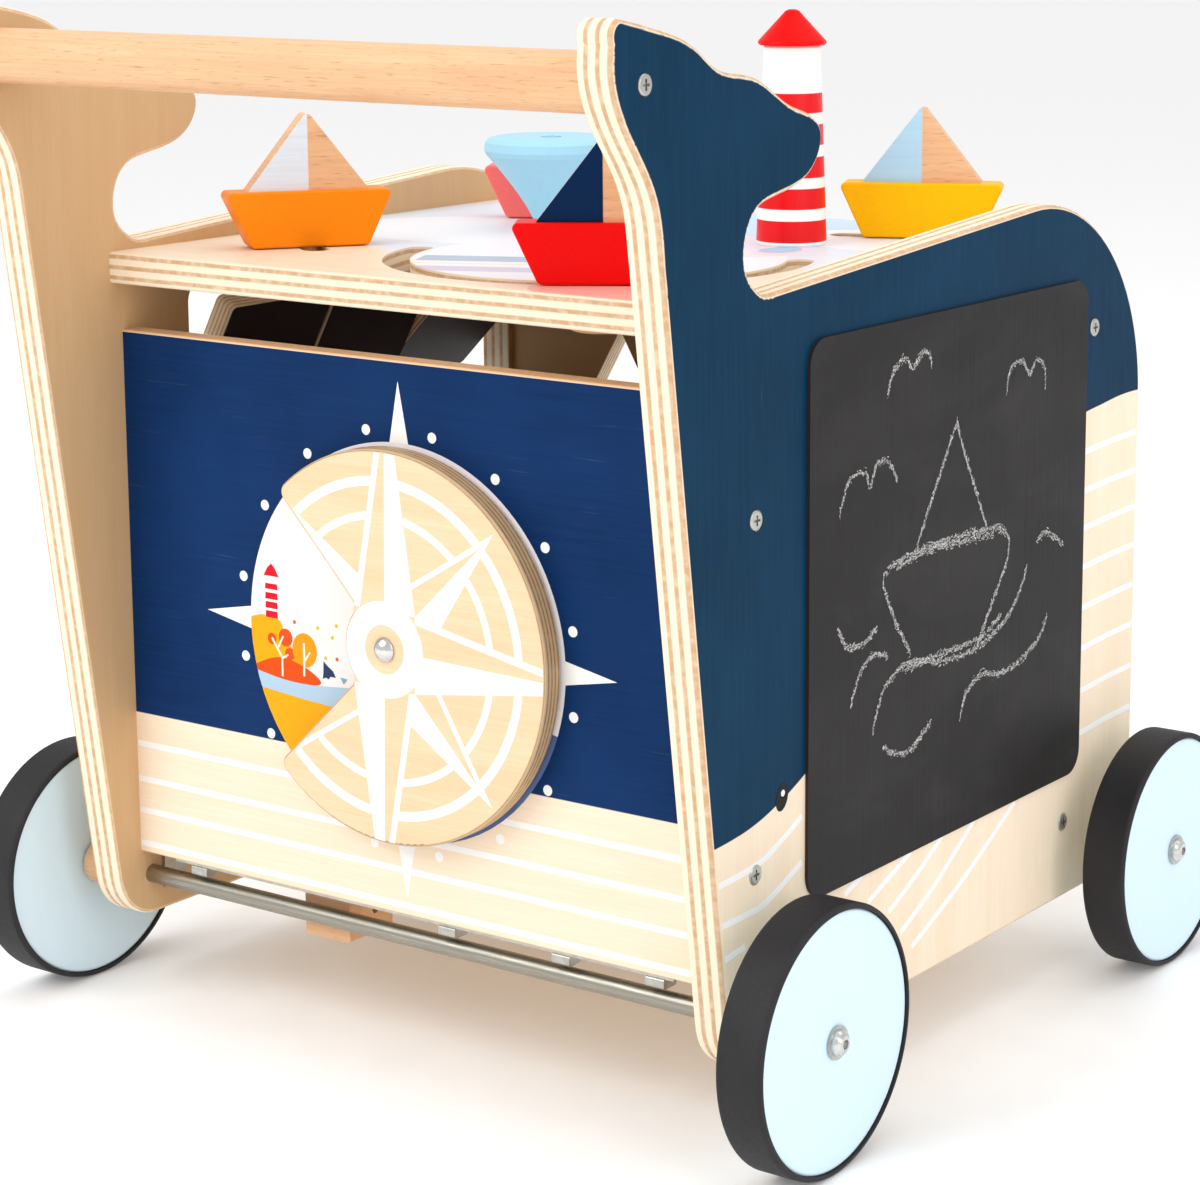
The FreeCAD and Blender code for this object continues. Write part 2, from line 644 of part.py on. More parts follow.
def sail(peg, heading):
    """Triangular sail glued on a hull."""
    z0 = BOARD_TOP + HULL_GAP + HULL_H
    shape = prism_y([(-SAIL_BASE / 2, z0), (SAIL_BASE / 2, z0), (0, z0 + SAIL_H + SAIL_TIP_CUT)],
                    -SAIL_T / 2, SAIL_T / 2)
    tip = [e for e in shape.Edges if isinstance(e.Curve, Part.Line)
           and abs(abs(e.Curve.Direction.dot(Y_AXIS)) - 1) < 1e-6 and e.CenterOfMass.z > z0 + SAIL_H / 2]
    shape = shape.makeFillet(2.5, tip)
    return place(shape, peg, heading)


def boat_peg(peg):
    """Peg through the slot and the loose disc under the board that keeps the boat on."""
    z_low = BOARD_TOP - BOARD_T - HULL_GAP - RETAINER_T
    stem = rod((peg[0], peg[1], z_low), Z_AXIS, PEG_D, BOARD_TOP + HULL_GAP + PEG_IN_HULL - z_low)
    disc = rod((peg[0], peg[1], z_low), Z_AXIS, RETAINER_D, RETAINER_T)
    disc = round_outline(disc, Z_AXIS, 1.0)
    return [stem, disc.cut(rod((peg[0], peg[1], z_low - 1), Z_AXIS, PEG_D, RETAINER_T + 2))]


def whirl_knob():
    """Turned knob: broad flat head on a body that flares out from a narrow foot."""
    z0 = BOARD_TOP + 0.3
    steps = 10
    flare = []
    for step in range(steps + 1):
        share = step / steps
        flare.append((KNOB_FOOT_R + (KNOB_BODY_R - KNOB_FOOT_R) * share ** KNOB_FLARE, KNOB_BODY_H * share))
    head = [(KNOB_R - 1.2, KNOB_BODY_H + 2.0), (KNOB_R, KNOB_BODY_H + 4.5),
            (KNOB_R - 0.6, KNOB_H - 2.4), (KNOB_R - 2.5, KNOB_H - 0.6), (KNOB_R - 5, KNOB_H), (0, KNOB_H)]
    body = revolve([(0, 0)] + flare + head, (KNOB_AT[0], KNOB_AT[1], z0))
    bore = rod((KNOB_AT[0], KNOB_AT[1], z0 - 1), Z_AXIS, KNOB_SCREW_D + 2 * RUNNING_FIT, KNOB_H + 2)
    seat = rod((KNOB_AT[0], KNOB_AT[1], z0 + KNOB_H - 1.6), Z_AXIS, 10.4, 3)
    return body.cut(bore).cut(seat)


def knob_screw():
    """Long screw that the knob turns on, with its nut under the board."""
    head_d, head_h = KNOB_SCREW_HEAD
    nut_d, nut_h = KNOB_NUT
    under = BOARD_TOP - BOARD_T
    low = under - nut_h - 0.5
    top = BOARD_TOP + 0.3 + KNOB_H - 1.5
    shank = rod((KNOB_AT[0], KNOB_AT[1], low), Z_AXIS, KNOB_SCREW_D, top - low)
    head = rod((KNOB_AT[0], KNOB_AT[1], top), Z_AXIS, head_d, head_h)
    nut = rod((KNOB_AT[0], KNOB_AT[1], under - nut_h), Z_AXIS, nut_d, nut_h)
    tip = (KNOB_AT[0], KNOB_AT[1], top + head_h + 0.1)
    return head.fuse(shank).fuse(nut).cut(cross_recess(tip, Z_AXIS * -1, 4.6, 1.3))


def lighthouse_tower():
    """Tapering tower on a dowel in the top board."""
    low, high = LIGHTHOUSE_R
    at = (LIGHTHOUSE_AT[0], LIGHTHOUSE_AT[1], BOARD_TOP)
    profile = [(0, 0), (low - 0.8, 0), (low, 1.0), (high, LIGHTHOUSE_H - 1.0),
               (high - 0.8, LIGHTHOUSE_H), (0, LIGHTHOUSE_H)]
    tower = revolve(profile, at)
    dowel = rod((at[0], at[1], BOARD_TOP - BOARD_T), Z_AXIS, LIGHTHOUSE_DOWEL_D, BOARD_T + 5)
    return tower.fuse(dowel)


def lighthouse_roof():
    """Red cone with a rounded tip."""
    at = (LIGHTHOUSE_AT[0], LIGHTHOUSE_AT[1], BOARD_TOP + LIGHTHOUSE_H)
    profile = [(0, 0), (ROOF_R - 0.8, 0), (ROOF_R, 1.0), (ROOF_R - 0.4, 2.2), (4.6, ROOF_H - 2.2),
               (3.4, ROOF_H - 0.8), (1.8, ROOF_H - 0.1), (0, ROOF_H)]
    return revolve(profile, at)


# ---- under the floor ----------------------------------------------------
def axle_block():
    """Beech block under the floor, just in front of the rear axle."""
    rear = REAR_AXLE_Y + AXLE_D / 2 + BLOCK_BEHIND_AXLE
    shape = block(*BLOCK_X, rear, rear + BLOCK_DEPTH, BLOCK_BOTTOM, FLOOR_Z[0])
    shape = fillet_parallel(shape, Y_AXIS, SMALL_ROUND)
    start = BLOCK_X[0] - SMALL_ROUND
    length = BLOCK_X[1] + SMALL_ROUND - start
    return shape.cut(rod((start, rear + 0.6 * BLOCK_DEPTH, BLOCK_HOLE_Z), X_AXIS, BLOCK_HOLE_D, length))


def rear_rail():
    """Thin steel strip under the lower edge of the rear panel."""
    middle = REAR_Y + REAR_T / 2
    return block(-RAIL_X, RAIL_X, middle - RAIL_W / 2, middle + RAIL_W / 2, REAR_Z[0] - RAIL_T, REAR_Z[0])


def rail_clips():
    """Small clips that hold the strip."""
    middle = REAR_Y + REAR_T / 2
    half = CLIP_W / 2
    z1 = REAR_Z[0] - RAIL_T
    clips = []
    for x in CLIP_X:
        body = block(x - half, x + half, middle - half, middle + half, z1 - CLIP_H, z1)
        clips.append(fillet_parallel(body, X_AXIS, SMALL_ROUND))
    return clips


def corner_bracket(side, y):
    """Bent steel angle between the floor and a side."""
    z = FLOOR_Z[0]
    x0 = side * HALF_INSIDE
    x1 = x0 - side * BRACKET_LEG
    plate = block(min(x0, x1), max(x0, x1), y, y + BRACKET_W, z - BRACKET_T, z)
    x2 = x0 - side * BRACKET_T
    leg = block(min(x0, x2), max(x0, x2), y, y + BRACKET_W, z - BRACKET_LEG, z)
    return plate.fuse(leg).removeSplitter()


def corner_brackets():
    places = (REAR_Y + REAR_T + BRACKET_T, FRONT_PANEL_Y[0] - BRACKET_FROM_FRONT)
    return [corner_bracket(side, y) for side in (-1, 1) for y in places]


PARTS = {
    "side_panel_right": side_panel_right,
    "side_panel_left": side_panel_left,
    "chalkboard": chalkboard,
    "rear_panel": rear_panel,
    "front_panel": front_panel,
    "top_board": top_board,
    "floor_board": floor_board,
    "handle_bar": handle_bar,
    "handle_screws": handle_screws,
    "side_screws": side_screws,
    "rear_axle": lambda: axle(REAR_AXLE_Y),
    "front_axle": lambda: axle(FRONT_AXLE_Y),
    "wheel_spacers": lambda: at_each_wheel(wheel_spacer),
    "wheel_bolts": lambda: at_each_wheel(wheel_bolt),
    "wheel_washers": lambda: at_each_wheel(wheel_washer),
    "compass_disc": compass_disc,
    "compass_pin": compass_pin,
    "compass_cap": compass_cap,
    "compass_washer": compass_washer,
    "tile_rods": lambda: [tile_rod(row) for row in range(3)],
    "whirl_knob": whirl_knob,
    "knob_screw": knob_screw,
    "lighthouse_tower": lighthouse_tower,
    "lighthouse_roof": lighthouse_roof,
    "axle_block": axle_block,
    "rear_rail": rear_rail,
    "rail_clips": rail_clips,
    "corner_brackets": corner_brackets,
}

WHEELS = {
    "rear_left": (-1, REAR_AXLE_Y),
    "rear_right": (1, REAR_AXLE_Y),
    "front_left": (-1, FRONT_AXLE_Y),
    "front_right": (1, FRONT_AXLE_Y),
}

BOATS = {
    "red": (red_peg_at(RED_ARC_REST), RED_ARC_REST + RED_HEADING, True),
    "orange": (ORANGE_PEG, ORANGE_HEADING, True),
    "yellow": (YELLOW_PEG, YELLOW_HEADING, True),
    "pink": (PINK_PEG, PINK_HEADING, False),
}


def main():
    os.makedirs("parts", exist_ok=True)
    for name, make in PARTS.items():
        save(name, make())
    for name, (side, y) in WHEELS.items():
        save(name + "_wheel_disc", wheel_disc(side, y))
        save(name + "_tyre", tyre(side, y))
    for row in range(3):
        for column in range(3):
            save("tile_%d_%d" % (row + 1, column + 1), tile(row, column))
    for name, (peg, heading, has_sail) in BOATS.items():
        save(name + "_hull", hull(peg, heading))
        save(name + "_boat_peg", boat_peg(peg))
        if has_sail:
            save(name + "_sail", sail(peg, heading))


main()
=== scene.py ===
"""Looks of the wooden baby walker: paint, ply, prints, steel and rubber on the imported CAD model."""

import math
import random

import bpy
from mathutils import Euler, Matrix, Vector


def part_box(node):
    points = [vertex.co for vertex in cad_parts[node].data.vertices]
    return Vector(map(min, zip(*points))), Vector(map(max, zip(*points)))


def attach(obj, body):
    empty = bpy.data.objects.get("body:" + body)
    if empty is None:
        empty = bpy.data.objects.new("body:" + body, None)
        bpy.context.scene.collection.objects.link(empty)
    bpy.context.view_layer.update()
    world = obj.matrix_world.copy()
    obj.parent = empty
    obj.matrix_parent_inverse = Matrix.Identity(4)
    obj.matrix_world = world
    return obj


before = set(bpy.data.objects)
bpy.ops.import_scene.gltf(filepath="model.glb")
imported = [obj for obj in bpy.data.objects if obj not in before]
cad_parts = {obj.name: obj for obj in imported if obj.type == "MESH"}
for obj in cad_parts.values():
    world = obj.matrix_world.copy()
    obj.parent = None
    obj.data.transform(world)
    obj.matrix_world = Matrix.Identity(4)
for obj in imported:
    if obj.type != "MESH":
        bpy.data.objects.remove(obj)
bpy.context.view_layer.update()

MM = 0.001

# ---------------------------------------------------------------- places read from the frame, in mm

SIDE_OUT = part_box("side_panel_right")[1].x / MM
SIDE_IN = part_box("side_panel_right")[0].x / MM
BOARD_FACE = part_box("chalkboard")[1].x / MM
REAR_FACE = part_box("rear_panel")[0].y / MM
FRONT_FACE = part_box("front_panel")[1].y / MM
DISC_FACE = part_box("compass_disc")[0].y / MM
HUB_X = 0.0
HUB_Z = (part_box("compass_cap")[0].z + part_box("compass_cap")[1].z) / 2 / MM

# ---------------------------------------------------------------- colours


def linear(value):
    """One sRGB channel, 0 to 255, as linear light."""
    share = value / 255
    return share / 12.92 if share <= 0.04045 else ((share + 0.055) / 1.055) ** 2.4


def srgb(red, green, blue):
    return (linear(red), linear(green), linear(blue), 1.0)


def shade(colour, share, lift=0.0):
    """A colour made darker or lighter by a share, and lifted a little."""
    return [min(1.0, c * share + lift) for c in colour[:3]] + [1.0]


BIRCH = srgb(243, 215, 179)
BIRCH_DARK = srgb(230, 195, 152)
# birch lightened as painted light: it stands for full light on the right side and rear panels, and for the
# glossy highlight of the top board
PAINTED_LIGHT_BIRCH = srgb(249, 232, 209)
PAINTED_LIGHT_BIRCH_DARK = srgb(240, 217, 187)
PLY_BROWN = srgb(200, 152, 106)
# a brown painted as shade on the inner faces of the left and front panels
PAINTED_SHADE_BIRCH = srgb(186, 142, 88)
PLY_CREAM = srgb(248, 232, 206)
TILE_CHARCOAL = srgb(60, 51, 61)
NAVY = srgb(1, 50, 78)
NAVY_REAR = srgb(9, 47, 95)
WHITE = srgb(246, 246, 244)
BEECH = srgb(238, 192, 148)
BEECH_DARK = srgb(212, 158, 114)
RED = srgb(240, 4, 4)
ORANGE = srgb(253, 140, 10)
YELLOW = srgb(253, 190, 2)
PINK = srgb(255, 118, 114)
SKY_BLUE = srgb(164, 216, 238)
WHEEL_BLUE = srgb(216, 238, 250)
CHALK_BLACK = srgb(22, 19, 19)
CHALK_HAZE = srgb(78, 76, 75)
HARDBOARD = srgb(52, 38, 30)
RUBBER = srgb(40, 39, 41)

# ---------------------------------------------------------------- node materials

SOFT_EDGE = 0.2             # half-width of the blend along a painted edge, mm
SOFT_RIM = 0.005            # the same along a painted ellipse, as a share of its radius squared
ONE_FACE = (0.93, 0.97)     # how squarely a surface faces an axis where its paint begins and is full
BOTH_FACES = (0.82, 0.95)   # the same where both broad faces are meant
BUMP_STRENGTH = 0.6
DETAIL_LOW = 0.3            # a texture's value where a surface is at its smoothest
PAINTED_SHADE_SHARE = 0.6          # how far a face goes towards the brown of the painted shade
INK_WEAR = 0.06             # how much wood shows through printed ink along its highest fibres

# thickness of one ply layer, mm
SIDE_LAYER = 2.85
TOP_LAYER = 2.5
FLOOR_LAYER = 1.4
PANEL_LAYER = 1.2
LAYER_WAVER = 0.2           # how far the line between two layers wanders, mm


class Shader:
    """A node material on Principled BSDF, built up one node at a time."""

    def __init__(self, name, roughness=0.5, metallic=0.0, specular=0.5, coat=0.0):
        self.material = bpy.data.materials.new(name)
        self.material.use_nodes = True
        self.tree = self.material.node_tree
        self.surface = self.tree.nodes["Principled BSDF"]
        self.surface.inputs["Roughness"].default_value = roughness
        self.surface.inputs["Metallic"].default_value = metallic
        self.surface.inputs["Specular IOR Level"].default_value = specular
        self.surface.inputs["Coat Weight"].default_value = coat
        coordinates = self.tree.nodes.new("ShaderNodeTexCoord")
        self.place = coordinates.outputs["Object"]
        self.x, self.y, self.z = self.split(self.place)
        self.facing = self.split(coordinates.outputs["Normal"])

    def split(self, vector):
        node = self.tree.nodes.new("ShaderNodeSeparateXYZ")
        self.tree.links.new(vector, node.inputs[0])
        return node.outputs[0], node.outputs[1], node.outputs[2]

    def feed(self, socket, value):
        if isinstance(value, bpy.types.NodeSocket):
            self.tree.links.new(value, socket)
        else:
            socket.default_value = value

    def math(self, operation, *values):
        node = self.tree.nodes.new("ShaderNodeMath")
        node.operation = operation
        for socket, value in zip(node.inputs, values):
            self.feed(socket, value)
        return node.outputs[0]

    def combine(self, parts, direction):
        """The length of a vector along a fixed direction."""
        total = self.math("MULTIPLY", parts[0], direction[0])
        for part, share in zip(parts[1:], direction[1:]):
            total = self.math("ADD", total, self.math("MULTIPLY", part, share))
        return total

    def ramp(self, value, low, high, out_low=0.0, out_high=1.0):
        """Linear change from out_low to out_high while value goes from low to high."""
        node = self.tree.nodes.new("ShaderNodeMapRange")
        self.feed(node.inputs["Value"], value)
        node.inputs["From Min"].default_value = low
        node.inputs["From Max"].default_value = high
        node.inputs["To Min"].default_value = out_low
        node.inputs["To Max"].default_value = out_high
        return node.outputs[0]

    def above(self, value, edge):
        return self.ramp(value, edge - SOFT_EDGE * MM, edge + SOFT_EDGE * MM)

    def mix(self, share, first, second):
        node = self.tree.nodes.new("ShaderNodeMix")
        node.data_type = "RGBA"
        self.feed(node.inputs[0], share)
        self.feed(node.inputs[6], first)
        self.feed(node.inputs[7], second)
        return node.outputs[2]

    def noise(self, scale, detail=3.0, roughness=0.55, distortion=0.0):
        """Noise of that many features per metre: one number, or one each along x, y and z."""
        stretch = self.tree.nodes.new("ShaderNodeMapping")
        stretch.inputs["Scale"].default_value = scale if isinstance(scale, (list, tuple)) else [scale] * 3
        self.tree.links.new(self.place, stretch.inputs["Vector"])
        node = self.tree.nodes.new("ShaderNodeTexNoise")
        node.inputs["Scale"].default_value = 1.0
        node.inputs["Detail"].default_value = detail
        node.inputs["Roughness"].default_value = roughness
        node.inputs["Distortion"].default_value = distortion
        self.tree.links.new(stretch.outputs[0], node.inputs["Vector"])
        return node.outputs[0]

    def curve(self, value, points, low, high, out_low, out_high):
        """A smooth line through points (value, result), in the given ranges, all in mm."""
        node = self.tree.nodes.new("ShaderNodeFloatCurve")
        line = node.mapping.curves[0]
        shares = [((a - low) / (high - low), (b - out_low) / (out_high - out_low)) for a, b in points]
        line.points[0].location = shares[0]
        line.points[1].location = shares[-1]
        for place in shares[1:-1]:
            line.points.new(*place)
        node.mapping.update()
        self.feed(node.inputs["Value"], self.ramp(value, low * MM, high * MM))
        return self.ramp(node.outputs[0], 0.0, 1.0, out_low * MM, out_high * MM)

    def bump(self, height, depth):
        """Relief from a texture, that deep in mm."""
        node = self.tree.nodes.new("ShaderNodeBump")
        node.inputs["Strength"].default_value = BUMP_STRENGTH
        node.inputs["Distance"].default_value = depth * MM
        self.feed(node.inputs["Height"], height)
        self.tree.links.new(node.outputs[0], self.surface.inputs["Normal"])

    def finish(self, colour, detail=None, rough=None, peak=0.8):
        """Sets the colour, and a roughness that goes from its low to its high value with the detail."""
        self.feed(self.surface.inputs["Base Color"], colour)
        if rough:
            self.feed(self.surface.inputs["Roughness"], self.ramp(detail, DETAIL_LOW, peak, *rough))
        return self.material


AXES = {"x": 0, "y": 1, "z": 2}
FINE_GRAIN = 900.0          # features per metre across the fibres
LONG_GRAIN = 22.0           # features per metre along them


def grain_scale(grain, fine=FINE_GRAIN, along=LONG_GRAIN):
    """Feature sizes of wood whose fibres run along one axis, or level in any direction ("xy")."""
    return [along if axis in grain else fine for axis in AXES]


def wood(shader, grain, light, dark, pore=0.08):
    """Bare wood: fine fibres, broad figure and short pores."""
    fibres = shader.noise(grain_scale(grain), 4.0)
    figure = shader.noise(grain_scale(grain, 55.0, 5.0), roughness=0.5, distortion=1.2)
    pores = shader.noise(grain_scale(grain, 1500.0, 120.0), 1.0)
    tone = shader.mix(shader.ramp(fibres, 0.3, 0.75, 0.0, 0.55), light, dark)
    tone = shader.mix(shader.ramp(figure, 0.42, 0.66, 0.0, 0.45), tone, dark)
    speck = shader.math("MULTIPLY", shader.ramp(pores, 0.62, 0.74), pore)
    return shader.mix(speck, tone, shade(dark, 0.55)), fibres


def ply_edge(shader, along, layer, cream=PLY_CREAM, brown=PLY_BROWN, first=0.0):
    """Cream and brown layers of that thickness (mm) on a cut edge. first: the middle of a brown one."""
    waver = shader.noise(40.0, 2.0)
    place = shader.math("ADD", along, shader.ramp(waver, 0.0, 1.0, -LAYER_WAVER * MM, LAYER_WAVER * MM))
    turns = shader.math("MULTIPLY", shader.math("SUBTRACT", place, first * MM), math.pi / (layer * MM))
    wave = shader.math("COSINE", turns)
    streak = shader.noise(260.0)
    dark = shader.math("MULTIPLY", shader.ramp(wave, 0.1, 0.6), shader.ramp(streak, 0.25, 0.6, 0.5, 1.0))
    return shader.mix(shader.math("MULTIPLY", dark, 0.85), cream, brown)


def on_face(shader, axis, side=0):
    """1 on the broad faces across an axis: both of them, or only the one on that side."""
    facing = shader.facing[AXES[axis]]
    if side:
        return shader.ramp(shader.math("MULTIPLY", facing, float(side)), *ONE_FACE)
    return shader.ramp(shader.math("ABSOLUTE", facing), *BOTH_FACES)


def painted(shader, mask, ground, colour, grain, fibres, wear=0.07, streak=0.8):
    """Thin paint over wood: the fibres show faintly, and it is a little uneven."""
    cloud = shader.noise(14.0)
    streaks = shader.noise(grain_scale(grain, 520.0, 16.0), 4.0, roughness=0.65)
    tone = shader.mix(shader.ramp(streaks, 0.35, 0.65, 0.0, streak), colour, shade(colour, 0.72))
    tone = shader.mix(shader.ramp(cloud, 0.35, 0.75, 0.0, 0.5 * streak), tone, shade(colour, 1.5, 0.004))
    tone = shader.mix(shader.math("MULTIPLY", shader.ramp(fibres, 0.68, 0.8), wear), tone, ground)
    return shader.mix(mask, ground, tone)


def ply(name, axis, grain, layer, paint=None, wood_tones=(BIRCH, BIRCH_DARK),
        edge_tones=(PLY_CREAM, PLY_BROWN), first=0.0, painted_shade_side=0):
    """Lacquered birch ply, its broad faces across an axis and its fibres along another.

    paint is a function (shader) giving (mask, colour) of a painted region.
    golden is the side, 1 or -1, whose bare face is darkened towards a brown as painted shade.
    """
    shader = Shader(name, specular=0.07)
    face, fibres = wood(shader, grain, *wood_tones)
    # painted shade: one bare face is pulled towards a darker brown where shade falls on it
    if painted_shade_side:
        share = shader.math("MULTIPLY", on_face(shader, axis, painted_shade_side), PAINTED_SHADE_SHARE)
        face = shader.mix(share, face, PAINTED_SHADE_BIRCH)
    shown = face
    if paint:
        mask, colour = paint(shader)
        shown = painted(shader, mask, face, colour, grain, fibres)
    along = (shader.x, shader.y, shader.z)[AXES[axis]]
    colour = shader.mix(on_face(shader, axis), ply_edge(shader, along, layer, *edge_tones, first), shown)
    shader.bump(fibres, 0.09)
    return shader.finish(colour, fibres, (0.42, 0.58))


def broad_direction(node):
    """The direction across a flat piece: the normal of its largest face."""
    largest = max(node.data.polygons, key=lambda polygon: polygon.area)
    return largest.normal.normalized()


def tile_look(name, node):
    """A tile's own paint: it leans, so its faces are found along its own direction."""
    across = broad_direction(node)
    shader = Shader(name, specular=0.12)
    ground, fibres = wood(shader, "z", BIRCH, BIRCH_DARK)
    dot = shader.combine(shader.facing, across)
    along = shader.combine((shader.x, shader.y, shader.z), across)
    mask = shader.ramp(shader.math("ABSOLUTE", dot), 0.9, 0.96)
    face = painted(shader, 1.0, ground, TILE_CHARCOAL, "z", fibres, wear=0.02, streak=0.4)
    colour = shader.mix(mask, ply_edge(shader, along, PANEL_LAYER), face)
    shader.bump(fibres, 0.07)
    return shader.finish(colour, fibres, (0.46, 0.6))


def beech(name, grain):
    shader = Shader(name, specular=0.3)
    colour, fibres = wood(shader, grain, BEECH, BEECH_DARK, pore=0.5)
    shader.bump(fibres, 0.08)
    return shader.finish(colour, fibres, (0.36, 0.52))


def satin(name, colour, grain, rough=(0.34, 0.48), coat=0.02, streak=0.22):
    """Opaque satin paint on wood, with fine fibres under it and faint wear."""
    shader = Shader(name, specular=0.09, coat=coat)
    shader.surface.inputs["Coat Roughness"].default_value = 0.25
    fibres = shader.noise(grain_scale(grain, 700.0, 30.0))
    tone = painted(shader, 1.0, BIRCH, colour, grain, fibres, 0.03, streak)
    spray = shader.noise(1400.0, 2.0)
    shader.bump(shader.math("ADD", fibres, shader.math("MULTIPLY", spray, 0.5)), 0.05)
    return shader.finish(tone, fibres, rough, peak=0.75)


def steel(name, tone, rough, brushed):
    """Plated steel: brushed by fine streaks along x, or mottled like zinc."""
    shader = Shader(name, metallic=1.0)
    marks = shader.noise((60.0, 1600.0, 1600.0) if brushed else 240.0, 4.0, roughness=0.6)
    colour = shader.mix(shader.ramp(marks, 0.3, 0.7), tone, shade(tone, 0.78))
    shader.bump(marks, 0.03)
    return shader.finish(colour, marks, rough, peak=0.7)


def rubber():
    shader = Shader("tyre_rubber", specular=0.25)
    specks = shader.noise(900.0)
    dust = shader.noise(30.0, 4.0)
    colour = shader.mix(shader.ramp(dust, 0.45, 0.8, 0.0, 0.3), RUBBER, shade(RUBBER, 2.1))
    shader.bump(specks, 0.08)
    return shader.finish(colour, specks, (0.5, 0.68), peak=0.7)


def chalk_face():
    """Blackboard paint with a faint vertical grain and wiped chalk haze."""
    shader = Shader("chalk_face", specular=0.22)
    fibres = shader.noise(grain_scale("z", 700.0, 14.0), 4.0)
    haze = shader.noise((14.0, 9.0, 22.0), 5.0, roughness=0.6, distortion=0.8)
    colour = shader.mix(shader.ramp(fibres, 0.4, 0.8, 0.0, 0.8), CHALK_BLACK, shade(CHALK_BLACK, 1.7))
    colour = shader.mix(shader.ramp(haze, 0.45, 0.8, 0.0, 0.22), colour, CHALK_HAZE)
    colour = shader.mix(on_face(shader, "x"), HARDBOARD, colour)
    shader.bump(fibres, 0.06)
    return shader.finish(colour, fibres, (0.44, 0.6))


def flat_print(name, colour):
    """Screen-printed ink: nearly even, thin where the fibres stand up."""
    shader = Shader(name, specular=0.14)
    fibres = shader.noise((700.0, 700.0, 90.0))
    cloud = shader.noise(60.0)
    tone = shader.mix(shader.ramp(cloud, 0.4, 0.8, 0.0, 0.6), colour, shade(colour, 0.94, 0.008))
    tone = shader.mix(shader.ramp(fibres, 0.66, 0.78, 0.0, INK_WEAR), tone, BIRCH_DARK)
    shader.bump(fibres, 0.03)
    return shader.finish(tone, fibres, (0.4, 0.52))


# ---------------------------------------------------------------- painted regions

# height (mm) of the lower edge of the navy paint on a side panel, along y
WATERLINE = ((-182, 146), (-160, 147), (-144, 149), (-128, 153), (-104, 162), (-40, 196),
             (30, 240), (100, 275), (149, 286), (168, 288), (191, 290), (212, 290))
WATERLINE_Y = (-182, 212)
WATERLINE_Z = (140, 300)
REAR_WATERLINE = 144.7
FRONT_WATERLINE = 290.0


def side_paint(side):
    """The navy of a side panel: above the waterline, on its outer face."""
    def region(shader):
        edge = shader.curve(shader.y, WATERLINE, *WATERLINE_Y, *WATERLINE_Z)
        over = shader.above(shader.math("SUBTRACT", shader.z, edge), 0.0)
        outer = on_face(shader, "x", side)
        return shader.math("MULTIPLY", over, outer), NAVY

    return region


def rear_paint(shader):
    over = shader.above(shader.z, REAR_WATERLINE * MM)
    return shader.math("MULTIPLY", over, on_face(shader, "y", -1)), NAVY_REAR


def front_paint(shader):
    over = shader.above(shader.z, FRONT_WATERLINE * MM)
    return shader.math("MULTIPLY", over, on_face(shader, "y", 1)), NAVY


def region_strip(shader, start, end, width):
    """1 inside a straight strip of that width (mm) on the top board, from start to end."""
    length = math.dist(start, end)
    ux, uy = (end[0] - start[0]) / length, (end[1] - start[1]) / length
    along = shader.combine((shader.x, shader.y), (ux, uy))
    across = shader.combine((shader.x, shader.y), (-uy, ux))
    first = (start[0] * ux + start[1] * uy) * MM
    middle = (start[1] * ux - start[0] * uy) * MM
    bands = []
    for place, low, high in ((along, first, first + length * MM),
                             (across, middle - width / 2 * MM, middle + width / 2 * MM)):
        bands.append(shader.math("SUBTRACT", shader.above(place, low), shader.above(place, high)))
    return shader.math("MULTIPLY", *bands)


def region_round(shader, centre, radii):
    """1 inside an ellipse on the top board."""
    u = shader.math("DIVIDE", shader.math("SUBTRACT", shader.x, centre[0] * MM), radii[0] * MM)
    v = shader.math("DIVIDE", shader.math("SUBTRACT", shader.y, centre[1] * MM), radii[1] * MM)
    reach = shader.math("ADD", shader.math("MULTIPLY", u, u), shader.math("MULTIPLY", v, v))
    return shader.ramp(reach, 1.0 + SOFT_RIM, 1.0 - SOFT_RIM)


# soft colour areas of the top print: centre (mm), radii (mm), colour, painted in this order
TOP_AREAS = (
    ((-6, 64), (176, 148), srgb(222, 230, 240)),
    ((60, 110), (120, 62), srgb(200, 222, 242)),
    ((-85, 18), (74, 56), srgb(240, 240, 244)),
    ((33, -40), (88, 88), srgb(240, 238, 242)),
    ((38, 24), (62, 48), srgb(234, 224, 234)),
    ((118, 96), (64, 44), srgb(238, 242, 247)),
    ((128, -138), (58, 26), srgb(246, 184, 172)),
    ((87, 32), (9.5, 13), srgb(172, 210, 234)),
)
# straight bands of the print: start, end, width (mm), colour
TOP_BANDS = (
    ((-36, -88), (62, -42), 20, srgb(178, 190, 208)),
    ((-14, -119), (64, -84), 17, srgb(212, 203, 220)),
)
# a thin bare line that runs across the print, and its width
TOP_LINE = ((-29, -105.5), (40, -73.7), (83, 8.2), (130, 32))
TOP_LINE_W = 3.6


def top_board():
    """Birch ply with a calm printed sea: pale areas, a salmon shore and thin bare lines."""
    shader = Shader("top_board_print", specular=0.3)
    # painted highlight: the bare wood of this board is lightened for the shine of its glossy face
    face, fibres = wood(shader, "x", PAINTED_LIGHT_BIRCH, BIRCH)
    upper = on_face(shader, "z", 1)
    tone = face
    for centre, radii, colour in TOP_AREAS:
        tone = shader.mix(region_round(shader, centre, radii), tone, colour)
    for start, end, width, colour in TOP_BANDS:
        tone = shader.mix(region_strip(shader, start, end, width), tone, colour)
    for start, end in zip(TOP_LINE, TOP_LINE[1:]):
        tone = shader.mix(region_strip(shader, start, end, TOP_LINE_W), tone, face)
    tone = shader.mix(shader.ramp(fibres, 0.68, 0.8, 0.0, 0.08), tone, face)
    printed = shader.mix(upper, face, tone)
    colour = shader.mix(on_face(shader, "z"), ply_edge(shader, shader.z, TOP_LAYER), printed)
    shader.bump(fibres, 0.08)
    return shader.finish(colour, fibres, (0.36, 0.5))


